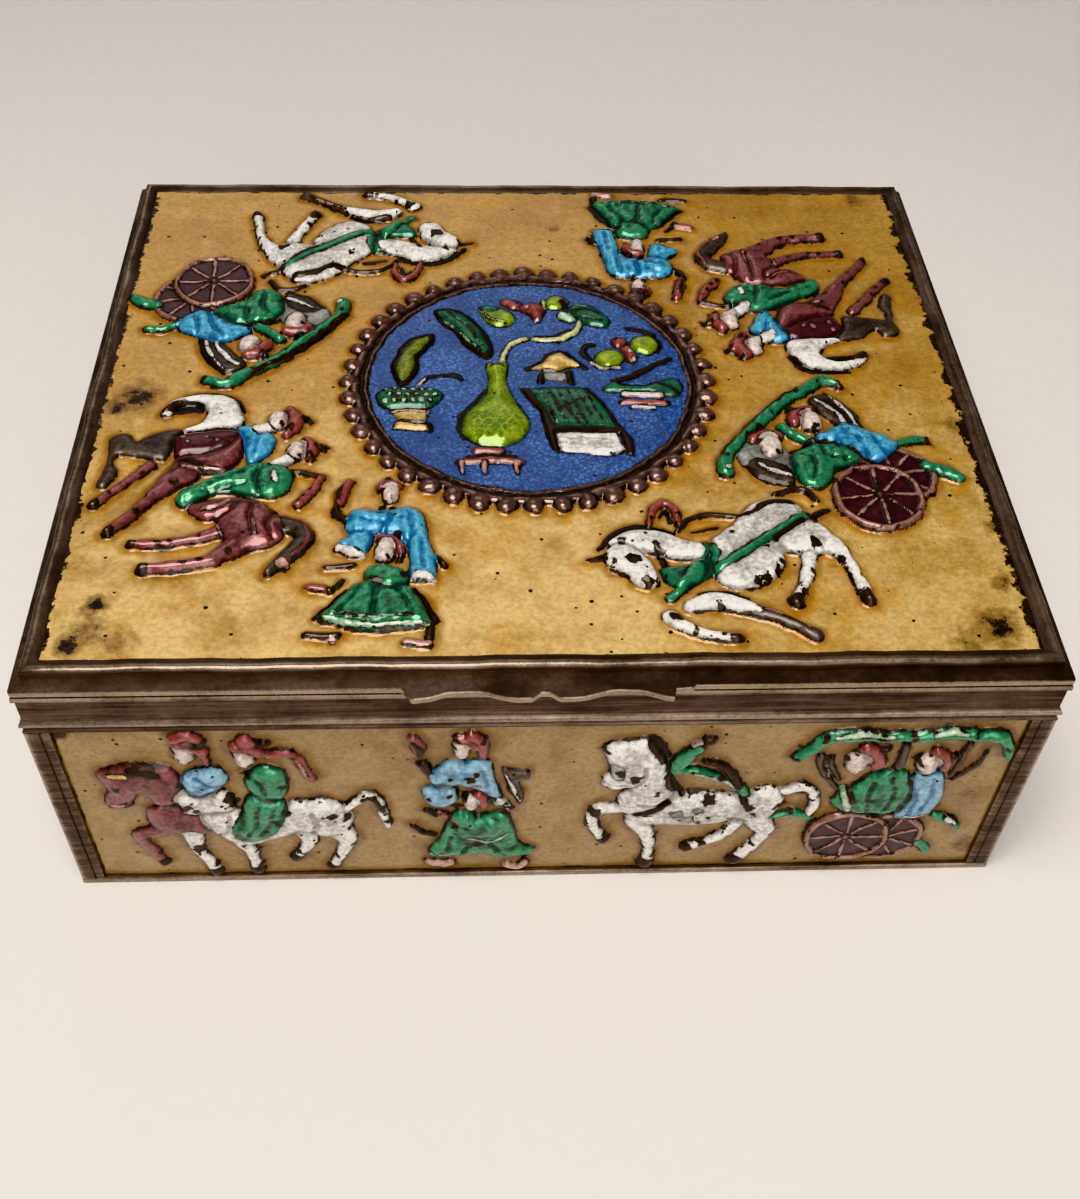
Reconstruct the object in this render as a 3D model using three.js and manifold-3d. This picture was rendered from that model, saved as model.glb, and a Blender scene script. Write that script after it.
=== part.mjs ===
// A hinged trinket box of brass sheet with pressed and enamelled panels.
// Lengths are in millimetres. +Z is up, the front faces -Y, and the origin is
// the middle of the underside.
import * as THREE from "three";
import { ConvexGeometry } from "three/addons/geometries/ConvexGeometry.js";
import { mergeVertices } from "three/addons/utils/BufferGeometryUtils.js";
import Module from "manifold-3d";

const wasm = await Module();
wasm.setup();

// The case
const WIDTH = 114;
const DEPTH = 95;
const CASE_HEIGHT = 37.45;
const FLOOR = 0.9;
const WALL = 0.8;
const PANEL_SLOT = 1.2;
const LIP = 0.5;
const WALL_TOTAL = WALL + PANEL_SLOT + LIP;
const STILE = 2.8;
const BOTTOM_RAIL = 1.0;
const PANEL_TOP = 31.3;
const BAND_LOW = 33.4;
const BAND_HIGH = 36.6;
const BAND_DEPTH = 0.3;

// The four side panels
const PANEL = 0.8;
const PANEL_TUCK = 0.5;
const PANEL_GAP = 0.1;
const PANEL_GROUND = LIP + PANEL_GAP;

// The lid
const LID_LOW = 37.6;
const LID_SHEET = 0.88;
const LID_TOP = LID_LOW + LID_SHEET;
const MOULDING_HEIGHT = 1.25;
const MOULDING_WIDTH = 1.1;
const MOULDING_HALF_X = 56.0;
const MOULDING_HALF_Y = 45.9;
const MOULDING_SHIFT = 1.1;
const MOULDING_LIP = 0.3;
const LID_PANEL_LOW = LID_TOP + 0.07;
const LID_GROUND = LID_PANEL_LOW + PANEL;

// The thumb tab at the front edge of the lid sheet
const TAB_LEFT = -15.8;
const TAB_RIGHT = 13.6;
const TAB_REACH = 1.6;
const TAB_HOLLOW = 0.75;
const TAB_STEPS = 20;

// The hinge
const AXIS_Y = 47.6;
const AXIS_Z = 34.9;
const BARREL_RADIUS = 1.2;
const BORE_RADIUS = 0.72;
const PIN_RADIUS = 0.55;
const PIN_LEFT = -56.4;
const PIN_RIGHT = 58.2;
const HINGE_HALF = 54;
const KNUCKLES = 5;
const KNUCKLE_GAP = 0.4;
const BARREL_SIDES = 12;
const LEAF = 0.4;
const HINGE_REBATE = 33.3;

// The raised work on the panels
const ROOT = 0.2;
const BEADS = 44;
const MEDALLION_AT = [-0.85, 1.4];
const MEDALLION_RADIUS = 20.9;
const BEAD_RING = 23.1;
const BEAD_RADIUS = 1.25;
const PROCESSION_CENTRE = [-1.4, 0.9];
const WHEEL_RADIUS = 5.3;
const WHEEL_RIM = 1.3;

const radians = THREE.MathUtils.degToRad;

// Solids and meshes

function solidOf(geometry) {
  const bare = new THREE.BufferGeometry();
  bare.setAttribute("position", geometry.getAttribute("position"));
  bare.setIndex(geometry.getIndex());
  const welded = mergeVertices(bare, 1e-5);
  const mesh = new wasm.Mesh({
    numProp: 3,
    vertProperties: new Float32Array(welded.getAttribute("position").array),
    triVerts: new Uint32Array(welded.getIndex().array),
  });
  return new wasm.Manifold(mesh);
}

function geometryOf(solid) {
  const mesh = solid.getMesh();
  const geometry = new THREE.BufferGeometry();
  geometry.setAttribute("position", new THREE.BufferAttribute(mesh.vertProperties, 3));
  geometry.setIndex(new THREE.BufferAttribute(mesh.triVerts, 1));
  geometry.computeVertexNormals();
  return geometry;
}

function hull(points) {
  return solidOf(new ConvexGeometry(points.map((p) => new THREE.Vector3(p[0], p[1], p[2]))));
}

function block(x0, x1, y0, y1, z0, z1) {
  const geometry = new THREE.BoxGeometry(x1 - x0, y1 - y0, z1 - z0);
  geometry.translate((x0 + x1) / 2, (y0 + y1) / 2, (z0 + z1) / 2);
  return solidOf(geometry);
}

function rodAlongX(x0, x1, radius) {
  const geometry = new THREE.CylinderGeometry(radius, radius, x1 - x0, BARREL_SIDES);
  geometry.rotateZ(Math.PI / 2);
  geometry.translate((x0 + x1) / 2, AXIS_Y, AXIS_Z);
  return solidOf(geometry);
}

function joined(solids) {
  return solids.reduce((whole, next) => whole.add(next));
}

function named(name, solid, colour, roughness, metalness) {
  const material = new THREE.MeshStandardMaterial({ color: colour, roughness, metalness });
  const mesh = new THREE.Mesh(geometryOf(solid), material);
  mesh.name = name;
  return mesh;
}

// Raised forms. A rounded form is two ends [u, v, radius] and a rise; a flat
// form is a convex outline and a rise; a rim is a ring of triangular section.

function rounded(a, b, rise) {
  return { ends: [a, b], rise };
}

function dome(u, v, radius, rise) {
  return rounded([u, v, radius], [u, v, radius], rise);
}

function flat(corners, rise) {
  return { corners, rise };
}

function rim(u, v, radius, width, rise, sides) {
  return { centre: [u, v], radius, width, rise, sides };
}

// A chain of rounded forms: each step is a heading in degrees, a length and
// the radius it ends with.
function walk(start, radius, steps, rise) {
  const forms = [];
  let from = [start[0], start[1], radius];
  for (const [heading, length, endRadius] of steps) {
    const u = from[0] + length * Math.cos(radians(heading));
    const v = from[1] + length * Math.sin(radians(heading));
    const to = [u, v, endRadius];
    forms.push(rounded(from, to, rise));
    from = to;
  }
  return forms;
}

// Turns, scales and moves a list of forms on its panel.
function place(forms, at, turn = 0, size = 1) {
  const c = Math.cos(radians(turn)) * size;
  const s = Math.sin(radians(turn)) * size;
  const move = ([u, v]) => [at[0] + c * u - s * v, at[1] + s * u + c * v];
  return forms.map((form) => {
    if (form.ends) {
      const ends = form.ends.map((end) => [...move(end), end[2] * size]);
      return { ...form, ends };
    }
    if (form.corners) {
      return { ...form, corners: form.corners.map(move) };
    }
    return { ...form, centre: move(form.centre), radius: form.radius * size, width: form.width * size };
  });
}

// Points round one end, the first of them square to the form's own heading.
function ringPoints(end, sides, spread, height, heading) {
  const points = [];
  for (let i = 0; i < sides; i += 1) {
    const angle = heading + Math.PI / 2 + (2 * Math.PI * i) / sides;
    const u = end[0] + end[2] * spread * Math.cos(angle);
    const v = end[1] + end[2] * spread * Math.sin(angle);
    points.push([u, v, height]);
  }
  return points;
}

function roundedSolid({ ends, rise }) {
  const widest = Math.max(ends[0][2], ends[1][2]);
  const sides = widest > 2.4 ? 8 : widest > 1.3 ? 6 : 4;
  const heading = Math.atan2(ends[1][1] - ends[0][1], ends[1][0] - ends[0][0]);
  const points = [];
  for (const end of ends) {
    const top = rise * (0.7 + (0.3 * end[2]) / widest);
    points.push(...ringPoints(end, sides, 1 + ROOT / top, -ROOT, heading));
    if (end[2] > 2.4) {
      points.push(...ringPoints(end, 4, 0.6, top * 0.82, heading));
    }
    points.push([end[0], end[1], top]);
  }
  return hull(points);
}

function flatSolid({ corners, rise }) {
  const middleU = corners.reduce((sum, p) => sum + p[0], 0) / corners.length;
  const middleV = corners.reduce((sum, p) => sum + p[1], 0) / corners.length;
  const inset = 0.72;
  const points = [];
  for (const [u, v] of corners) {
    points.push([u, v, -ROOT]);
    points.push([middleU + (u - middleU) * inset, middleV + (v - middleV) * inset, rise]);
  }
  return hull(points);
}

function rimSolid({ centre, radius, width, rise, sides }) {
  const profile = [
    new THREE.Vector2(radius - width, -ROOT),
    new THREE.Vector2(radius, -ROOT),
    new THREE.Vector2(radius - width / 2, rise),
    new THREE.Vector2(radius - width, -ROOT),
  ];
  const geometry = new THREE.LatheGeometry(profile, sides);
  geometry.rotateX(Math.PI / 2);
  geometry.translate(centre[0], centre[1], 0);
  return solidOf(geometry);
}

function formSolid(form) {
  if (form.ends) {
    return roundedSolid(form);
  }
  if (form.corners) {
    return flatSolid(form);
  }
  return rimSolid(form);
}

// Figures. Each one faces -u and stands on -v.

// A horse: its barrel from shoulder to hip, then neck, head, legs and tail.
function horse({ shoulder, lean, back, girth, neck, head, legs, tail, rise }) {
  const barrel = walk(shoulder, girth, [[lean, back, girth * 0.92]], rise);
  const limbs = legs.flatMap((leg) => walk(leg.from, leg.thigh, leg.bones, rise * 0.65));
  return [
    ...barrel,
    ...walk(neck.from, neck.root, neck.bones, rise * 0.9),
    ...(head ? walk(head.from, head.brow, head.bones, rise) : []),
    ...limbs,
    ...(tail ? walk(tail.from, tail.root, tail.bones, rise * 0.6) : []),
  ];
}

// The harnessed horse on the front, measured from the wheel hub.
function trottingHorse() {
  return horse({
    shoulder: [-24, 7.1], lean: 0, back: 11.3, girth: 3.6, rise: 1.3,
    neck: { from: [-25.2, 9.3], root: 3.4, bones: [[105, 8.8, 2.6]] },
    head: { from: [-28, 17.3], brow: 2.6, bones: [[-100, 6, 1.6]] },
    legs: [
      { from: [-28, 5.5], thigh: 1.5, bones: [[172, 4, 1.1], [-88, 4.2, 0.9], [-62, 3, 0.8]] },
      { from: [-26.2, 3.8], thigh: 1.6, bones: [[-70, 3.4, 1], [-83, 6.1, 0.8]] },
      { from: [-16, 3.2], thigh: 1.7, bones: [[-85, 2.2, 1.1], [216, 5.8, 0.8]] },
      { from: [-12.3, 3.6], thigh: 1.9, bones: [[-80, 4.4, 1.1], [-118, 5.3, 0.8]] },
    ],
    tail: { from: [-10.5, 8.8], root: 0.9, bones: [[49, 1.9, 0.9], [-10, 2.3, 0.9], [-71, 3.7, 0.7]] },
  });
}

// The harnessed horse on the lid, bowed low, measured from the wheel hub.
function bowingHorse() {
  return horse({
    shoulder: [-22.6, -10.5], lean: 28, back: 12.6, girth: 3.6, rise: 1.3,
    neck: { from: [-21.5, -8.3], root: 2.1, bones: [[175, 10, 2.1]] },
    head: { from: [-31.7, -8.3], brow: 2.1, bones: [[-60, 5.4, 1.2]] },
    legs: [
      { from: [-25, -15.2], thigh: 1.8, bones: [[-9, 7.4, 1.3], [-36, 7.4, 0.8]] },
      { from: [-26.2, -16.6], thigh: 1.1, bones: [[-75, 2.3, 1], [-22, 6.2, 0.7]] },
      { from: [-11, -6.5], thigh: 2.3, bones: [[-25, 5, 1.1], [-75, 7.4, 0.8]] },
      { from: [-10, -9.4], thigh: 1.6, bones: [[-112, 7, 0.8]] },
    ],
    tail: { from: [-12.7, 0.3], root: 0.7, bones: [[24, 2.4, 0.7], [-5, 2, 0.7], [-55, 2.4, 0.6]] },
  });
}

// A canopied cart with two passengers; the origin is the near wheel's hub.
function cart() {
  const farWheel = rim(4.2, 0, WHEEL_RADIUS, WHEEL_RIM, 0.6, 12);
  const nearWheel = rim(0, 0, WHEEL_RADIUS, WHEEL_RIM, 1.0, 12);
  const frontRobe = flat([[-1.4, 13], [3.6, 13], [4.8, 8.2], [3, 5.4], [-2.8, 5.6], [-3.2, 8.6]], 1.1);
  const rearRobe = flat([[5.2, 13], [8.8, 13], [9.8, 8.4], [9.2, 5.2], [5.4, 5.4], [4.6, 8]], 0.9);
  return [
    farWheel,
    nearWheel,
    frontRobe,
    rearRobe,
    rounded([-2.2, 14.8, 1.8], [-2, 16.2, 1.8], 1.4),
    rounded([6, 15.2, 1.7], [6.2, 16.4, 1.7], 1.2),
    ...walk([-8.6, 16.2], 0.9, [[50, 4, 1.2], [2, 20, 1.3], [-75, 4.2, 0.8]], 1.1),
    rounded([3, 14.2, 0.6], [3, 18.4, 0.6], 0.8),
    rounded([9.6, 3.5, 0.7], [13.4, 1.8, 0.7], 0.8),
    rounded([8.6, -1.6, 0.6], [9.8, -3.8, 0.7], 0.8),
    rounded([-10.7, 4.4, 0.6], [-5.2, 3.8, 0.6], 0.8),
  ];
}

// Two horses side by side with two riders, as on the front.
function ridersAbreast() {
  const nearHorse = horse({
    shoulder: [-10.7, -0.4], lean: 2, back: 10.7, girth: 3.8, rise: 1.3,
    neck: { from: [-11, 2.6], root: 2.2, bones: [[176, 5, 1.5]] },
    legs: [
      { from: [-9.2, -4.4], thigh: 1.6, bones: [[-77, 3.8, 0.9], [-90, 3.2, 0.8]] },
      { from: [-1.8, -3.4], thigh: 1.6, bones: [[-75, 2.9, 1], [-125, 3.7, 0.8]] },
      { from: [1.6, -2.6], thigh: 1.8, bones: [[-65, 3.2, 1], [-108, 5.9, 0.8]] },
    ],
    tail: { from: [3.2, 1.2], root: 0.9, bones: [[52, 2.8, 0.8], [13, 1.8, 0.8], [-81, 5.4, 0.6]] },
  });
  const farHorse = [
    ...walk([-16.8, 3.2], 2.6, [[140, 4.8, 2.2]], 0.9),
    ...walk([-22.2, 8.1], 2.3, [[-95, 4.3, 1.6]], 1.1),
    dome(-16.2, -1, 2.8, 0.9),
    ...walk([-17.7, -2.2], 1.5, [[197, 4, 1.1], [-71, 6, 0.8]], 0.8),
    ...walk([-16, -3], 1.4, [[-70, 4.4, 1], [-74, 4.6, 0.8]], 0.8),
  ];
  const frontRider = [
    rounded([-11.8, 6.3, 2.1], [-11.4, 9.1, 1.9], 1.2),
    rounded([-13.7, 12.5, 1.9], [-13.4, 13.9, 1.9], 1.3),
    dome(-12.6, 15.2, 1.3, 1),
  ];
  const rearRider = [
    rounded([-5.5, 5.4, 2.3], [-4.9, 8.6, 2], 1.4),
    rounded([-6, 3.4, 2.4], [-7.8, -2.2, 2.2], 1.7),
    rounded([-6.9, 11.5, 1.9], [-6.7, 12.7, 1.9], 1.4),
    dome(-7, 14.4, 1.4, 1),
    rounded([-1.2, 11.8, 0.8], [0, 8.1, 0.9], 0.7),
  ];
  return [...nearHorse, ...farHorse, ...frontRider, ...rearRider];
}

// Two leaping horses with two riders, as on the lid, measured from the hind hip.
function ridersLeaping() {
  const hindHorse = horse({
    shoulder: [-4.2, 9.6], lean: -66, back: 10.4, girth: 3.2, rise: 1.3,
    neck: { from: [-10.2, 10.2], root: 2.2, bones: [[25, 8.2, 1.9]] },
    legs: [
      { from: [-1, -2.9], thigh: 1.8, bones: [[-142, 4, 1], [-167, 6.6, 0.8]] },
      { from: [-3, -1.3], thigh: 1.4, bones: [[-158, 3.8, 0.9], [-176, 6.3, 0.8]] },
      { from: [-9, 9.2], thigh: 1.9, bones: [[-122, 5.7, 1], [-127, 6.5, 0.7]] },
      { from: [-11.8, 10], thigh: 1.1, bones: [[-141, 3, 0.9], [-130, 6, 0.8]] },
    ],
    tail: { from: [3, -0.4], root: 1, bones: [[-14, 2.5, 1.1], [-68, 2.2, 1.1], [-124, 5, 0.7]] },
  });
  const leadHorse = [
    ...walk([-4, 16.6], 1.6, [[83, 3.5, 1.6], [151, 3.3, 1.4], [190, 3.6, 1.1], [208, 2.5, 0.8]], 1.1),
    ...walk([-6.5, 14.2], 2.1, [[184, 4.5, 2.1], [177, 5.6, 1.1], [-95, 6.3, 0.7]], 0.8),
  ];
  const leadRider = [
    rounded([-0.9, 16, 1.5], [-0.3, 11.6, 1.7], 1.2),
    dome(1.7, 17.9, 1.8, 1.3),
    dome(4.1, 17.6, 1.4, 1),
  ];
  const hindRider = [
    rounded([2, 8.2, 2], [2.4, 5.2, 1.8], 1.3),
    rounded([-0.5, 7, 2], [-7.2, 4.4, 1.5], 1.5),
    dome(5.1, 12.2, 1.8, 1.3),
    dome(7, 13, 1.2, 0.9),
    rounded([7.7, 7.1, 0.8], [5.4, 3.2, 0.9], 0.7),
  ];
  return [...hindHorse, ...leadHorse, ...leadRider, ...hindRider];
}

// Two walking figures, one in front of the other; the origin is the skirt's hem.
// The sway moves the upper part sideways, in proportion to its height.
function walkers(sway = 0) {
  const s = (u, v) => [u + (sway * v) / 20, v];
  const jacket = [s(-3.2, 17.4), s(4.2, 17.4), s(5.8, 14.4), s(4.6, 9.4), s(-1.4, 9.4), s(-3.6, 13)];
  const skirt = [s(-1.4, 7.4), s(3.2, 7.4), [6.3, 0.2], [-6.2, 0.6]];
  return [
    flat(jacket, 0.9),
    flat(skirt, 1.2),
    rounded([...s(1.1, 19.3), 1.6], [...s(1.1, 20.5), 1.6], 1.2),
    dome(...s(1.2, 22), 1.3, 0.9),
    rounded([...s(-2.4, 14), 1.5], [...s(-3.6, 11.4), 1.4], 1),
    rounded([...s(4.8, 14), 1.4], [...s(5.6, 8), 1.6], 1),
    rounded([...s(0.6, 10.4), 1.5], [...s(0.6, 11.8), 1.5], 1.4),
    rounded([...s(-4.9, 18.6), 0.8], [...s(-3.8, 22.2), 0.9], 0.7),
    rounded([...s(-7.2, 5.5), 0.6], [...s(-4.8, 5), 0.7], 0.6),
    rounded([-6, -1.7, 0.6], [-3.8, -2, 0.6], 0.6),
    rounded([3.5, -2.3, 0.6], [5.8, -2, 0.6], 0.6),
  ];
}

// The still life in the medallion, measured from its middle.
function stillLife() {
  const vase = [
    rounded([-4.2, 2.6, 1.4], [-4.2, -2, 1.2], 1),
    rounded([-4.2, -3, 1.3], [-4.3, -8.6, 4.1], 1.3),
  ];
  const stand = [
    rounded([-8.8, -15.3, 0.7], [-1.4, -15.6, 0.7], 0.7),
    rounded([-5.7, -13.8, 0.8], [-4.2, -13.8, 0.8], 0.8),
  ];
  const bowl = [
    rounded([-17.4, -3.9, 1.8], [-12.9, -3.9, 1.8], 1),
    rounded([-16.6, -7.2, 1.2], [-13.2, -7.2, 1.2], 0.8),
    rounded([-16.3, -9.5, 0.7], [-12.7, -9.5, 0.7], 0.7),
  ];
  const sprays = [
    ...walk([-16.3, -0.2], 0.6, [[91, 4.2, 1.6], [56, 5, 0.6]], 0.8),
    ...walk([-5.3, 5.2], 0.7, [[122, 5.4, 1.6], [126, 4.6, 0.8]], 0.9),
    ...walk([-3.4, 4], 0.5, [[70, 3.2, 0.5], [20, 7, 0.5], [45, 3.4, 0.5]], 0.6),
    rounded([-5.6, 13.8, 1.2], [-2, 11.9, 1.3], 0.8),
    dome(-0.8, 15, 1.5, 0.9),
    dome(1.3, 13, 1.1, 0.8),
    dome(3.9, 16, 1.5, 0.8),
    rounded([6.4, 12.6, 1.3], [9.9, 11.6, 1.2], 0.8),
    dome(7.6, 14.8, 1.2, 0.7),
    dome(10.7, 3.9, 1.8, 0.9),
    rounded([12.2, 7.2, 1.1], [13.5, 5.3, 1.1], 0.8),
    dome(15.7, 6.5, 1.5, 0.8),
  ];
  const desk = [
    flat([[-1.2, -2.4], [7.2, -2.4], [10.8, -10.7], [3.2, -10.7]], 0.9),
    flat([[3, -11.3], [10.8, -11.3], [11.2, -14.7], [3.9, -14.3]], 0.7),
    flat([[0.4, 2.1], [6.7, 2.1], [4.6, 4.6], [2.6, 4.6]], 0.8),
    rounded([1.7, 1.2, 0.5], [1.7, -0.6, 0.5], 0.5),
    rounded([5.3, 1.2, 0.5], [5.3, -0.6, 0.5], 0.5),
    rounded([10.6, -2.3, 1.1], [18, -2.1, 1.1], 0.8),
    rounded([12.4, -4.6, 0.8], [16.6, -4.6, 0.8], 0.7),
    rounded([11.4, -0.7, 0.5], [17.6, 3.3, 0.5], 0.6),
  ];
  return [...vase, ...stand, ...bowl, ...sprays, ...desk];
}

function beadRing() {
  const forms = [rim(0, 0, MEDALLION_RADIUS + 0.5, 1, 0.5, 32)];
  for (let i = 0; i < BEADS; i += 1) {
    const angle = (2 * Math.PI * i) / BEADS;
    forms.push(dome(BEAD_RING * Math.cos(angle), BEAD_RING * Math.sin(angle), BEAD_RADIUS * 0.85, 1));
  }
  return forms;
}

// The lid's half procession, then the same again turned about the middle.
function lidForms() {
  const half = [
    ...place(bowingHorse(), [40.5, -20.9]),
    ...place(cart(), [40.5, -20.9], 45, 0.9),
    ...place(ridersLeaping(), [-34, -24.8]),
    ...place(walkers(), [-19, -40]),
  ];
  const centred = place(half, [-PROCESSION_CENTRE[0], -PROCESSION_CENTRE[1]]);
  return [
    ...half,
    ...place(centred, PROCESSION_CENTRE, 180),
    ...place([...beadRing(), ...stillLife()], MEDALLION_AT),
  ];
}

function frontForms() {
  return [
    ...place([...trottingHorse(), ...cart()], [38, 8.2]),
    ...place(ridersAbreast(), [-26.8, 14.2]),
    ...place(walkers(-2.4), [-7.6, 5.6]),
  ];
}

// The sides out of sight are plainer, with one group each.

function backForms() {
  return place([...trottingHorse(), ...cart()], [9, 8.2]);
}

function sideForms() {
  return [
    ...place(trottingHorse(), [12, 8.2]),
    ...place(walkers(-2.4), [22, 5.6]),
  ];
}

// A plate lying flat with its raised forms, ground at height 0.
function pressedPlate(halfU, lowV, highV, forms) {
  const plate = block(-halfU, halfU, lowV, highV, -PANEL, 0);
  return joined([plate, ...forms.map(formSolid)]);
}

// The case

function sidePocket(half, depth) {
  const opening = block(-half, half, -depth - 1, -depth + LIP, BOTTOM_RAIL, PANEL_TOP);
  const slotHalf = half + PANEL_TUCK + PANEL_GAP;
  const slotLow = BOTTOM_RAIL - PANEL_TUCK - PANEL_GAP;
  const slotHigh = PANEL_TOP + PANEL_TUCK + PANEL_GAP;
  const slot = block(-slotHalf, slotHalf, -depth + LIP, -depth + LIP + PANEL_SLOT, slotLow, slotHigh);
  return opening.add(slot);
}

function baseCase() {
  const x = WIDTH / 2;
  const y = DEPTH / 2;
  let solid = block(-x, x, -y, y, 0, CASE_HEIGHT);
  const bandRing = block(-x - 1, x + 1, -y - 1, y + 1, BAND_LOW, BAND_HIGH).subtract(
    block(-x + BAND_DEPTH, x - BAND_DEPTH, -y + BAND_DEPTH, y - BAND_DEPTH, 0, CASE_HEIGHT),
  );
  solid = solid.subtract(bandRing);
  const inX = x - WALL_TOTAL;
  const inY = y - WALL_TOTAL;
  solid = solid.subtract(block(-inX, inX, -inY, inY, FLOOR, CASE_HEIGHT + 1));
  const longPocket = sidePocket(x - STILE, y);
  const shortPocket = sidePocket(y - STILE, x);
  solid = solid.subtract(longPocket);
  solid = solid.subtract(longPocket.rotate([0, 0, 180]));
  solid = solid.subtract(shortPocket.rotate([0, 0, 90]));
  solid = solid.subtract(shortPocket.rotate([0, 0, -90]));
  const wallFace = inY + WALL;
  return solid.subtract(block(-x - 1, x + 1, wallFace, y + 1, HINGE_REBATE, CASE_HEIGHT + 1));
}

function sidePanel(name, length, turn, forms, colour) {
  const half = length / 2 - STILE + PANEL_TUCK;
  const plate = pressedPlate(half, BOTTOM_RAIL - PANEL_TUCK, PANEL_TOP + PANEL_TUCK, forms);
  const panel = named(name, plate, colour, 0.35, 0.1);
  panel.rotation.x = Math.PI / 2;
  const out = name === "front_panel" || name === "back_panel" ? DEPTH / 2 : WIDTH / 2;
  panel.position.y = -(out - PANEL_GROUND);
  const side = new THREE.Group();
  side.add(panel);
  side.rotation.z = radians(turn);
  return side;
}

// The lid

function tabShape() {
  const shape = new THREE.Shape();
  const front = -DEPTH / 2;
  shape.moveTo(TAB_LEFT - 1.2, front + 1);
  shape.lineTo(TAB_LEFT - 1.2, front);
  for (let i = 0; i <= TAB_STEPS; i += 1) {
    const t = i / TAB_STEPS;
    const lobe = Math.abs(t - 0.5) < 0.06 ? 0.55 : Math.sin(Math.PI * ((t * 2) % 1));
    const reach = TAB_REACH - TAB_HOLLOW * lobe;
    shape.lineTo(TAB_LEFT + (TAB_RIGHT - TAB_LEFT) * t, front - reach);
  }
  shape.lineTo(TAB_RIGHT, front + 1);
  return shape;
}

function lidFrame() {
  const x = WIDTH / 2;
  const y = DEPTH / 2;
  const tab = new THREE.ExtrudeGeometry(tabShape(), { depth: LID_SHEET, bevelEnabled: false });
  tab.translate(0, 0, LID_LOW);
  const sheet = block(-x, x, -y, y, LID_LOW, LID_TOP).add(solidOf(tab));
  const outer = [];
  const tiers = [[0, 0], [0, 0.5], [0.3, MOULDING_HEIGHT]];
  for (const [inset, height] of tiers) {
    for (const sx of [-1, 1]) {
      for (const sy of [-1, 1]) {
        const px = sx * (MOULDING_HALF_X - inset);
        const py = sy * (MOULDING_HALF_Y - inset) + MOULDING_SHIFT;
        outer.push([px, py, LID_TOP - 0.1 + height * 1.08]);
      }
    }
  }
  const innerX = MOULDING_HALF_X - MOULDING_WIDTH;
  const innerY = MOULDING_HALF_Y - MOULDING_WIDTH;
  const low = MOULDING_SHIFT - innerY;
  const high = MOULDING_SHIFT + innerY;
  const opening = block(-innerX, innerX, low, high, LID_TOP, LID_TOP + 5);
  const tuck = MOULDING_LIP + PANEL_GAP;
  const slotTop = LID_GROUND + PANEL_GAP;
  const slot = block(-innerX - tuck, innerX + tuck, low - tuck, high + tuck, LID_TOP, slotTop);
  return sheet.add(hull(outer).subtract(opening).subtract(slot));
}

function lidPanel() {
  const halfX = MOULDING_HALF_X - MOULDING_WIDTH + MOULDING_LIP;
  const halfY = MOULDING_HALF_Y - MOULDING_WIDTH + MOULDING_LIP;
  const plate = pressedPlate(halfX, MOULDING_SHIFT - halfY, MOULDING_SHIFT + halfY, lidForms());
  const panel = named("lid_panel", plate, 0xb98a1c, 0.35, 0.1);
  panel.position.z = LID_GROUND;
  return panel;
}

// The hinge

function knuckleRange(index) {
  const step = (2 * HINGE_HALF) / KNUCKLES;
  const x0 = -HINGE_HALF + index * step;
  return [x0 + KNUCKLE_GAP / 2, x0 + step - KNUCKLE_GAP / 2];
}

function baseLeaf() {
  const face = DEPTH / 2 - WALL_TOTAL + WALL + 0.05;
  const bore = rodAlongX(-HINGE_HALF - 1, HINGE_HALF + 1, BORE_RADIUS);
  let solid = block(-HINGE_HALF, HINGE_HALF, face, face + LEAF, HINGE_REBATE + 0.1, CASE_HEIGHT - 0.6);
  for (let i = 0; i < KNUCKLES; i += 2) {
    const [x0, x1] = knuckleRange(i);
    const web = block(x0, x1, face + LEAF / 2, AXIS_Y, AXIS_Z - BARREL_RADIUS, AXIS_Z);
    solid = solid.add(web).add(rodAlongX(x0, x1, BARREL_RADIUS));
  }
  return solid.subtract(bore);
}

function lidLeaf() {
  const bore = rodAlongX(-HINGE_HALF - 1, HINGE_HALF + 1, BORE_RADIUS);
  const top = LID_LOW - 0.05;
  const outside = AXIS_Y + BARREL_RADIUS;
  const inside = outside - 2 * LEAF;
  const foot = block(-HINGE_HALF, HINGE_HALF, AXIS_Y - 1.6, outside, top - LEAF, top);
  const strip = block(-HINGE_HALF, HINGE_HALF, inside, outside, AXIS_Z + BARREL_RADIUS + 0.2, top);
  let solid = foot.add(strip);
  for (let i = 1; i < KNUCKLES; i += 2) {
    const [x0, x1] = knuckleRange(i);
    solid = solid.add(block(x0, x1, inside, outside, AXIS_Z, top));
    solid = solid.add(rodAlongX(x0, x1, BARREL_RADIUS));
  }
  return solid.subtract(bore);
}

const box = new THREE.Group();
box.name = "trinket_box";
box.add(named("base_case", baseCase(), 0x4a3a22, 0.45, 0.8));
box.add(sidePanel("front_panel", WIDTH, 0, frontForms(), 0x7d6f22));
box.add(sidePanel("back_panel", WIDTH, 180, backForms(), 0x7d6f22));
box.add(sidePanel("left_panel", DEPTH, -90, sideForms(), 0x7d6f22));
box.add(sidePanel("right_panel", DEPTH, 90, sideForms(), 0x7d6f22));
box.add(named("base_hinge_leaf", baseLeaf(), 0x6b5426, 0.4, 0.9));
box.add(named("hinge_pin", rodAlongX(PIN_LEFT, PIN_RIGHT, PIN_RADIUS), 0x8a6d32, 0.35, 0.9));
box.add(named("lid_frame", lidFrame(), 0x4a3a22, 0.45, 0.8));
box.add(lidPanel());
box.add(named("lid_hinge_leaf", lidLeaf(), 0x6b5426, 0.4, 0.9));

export default box;
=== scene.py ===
# Looks of the enamelled trinket box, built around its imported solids.
# Shapes are worked out in millimetres and written to Blender in metres.
import math

import bpy
import numpy as np
from mathutils import Matrix, Vector


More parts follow.
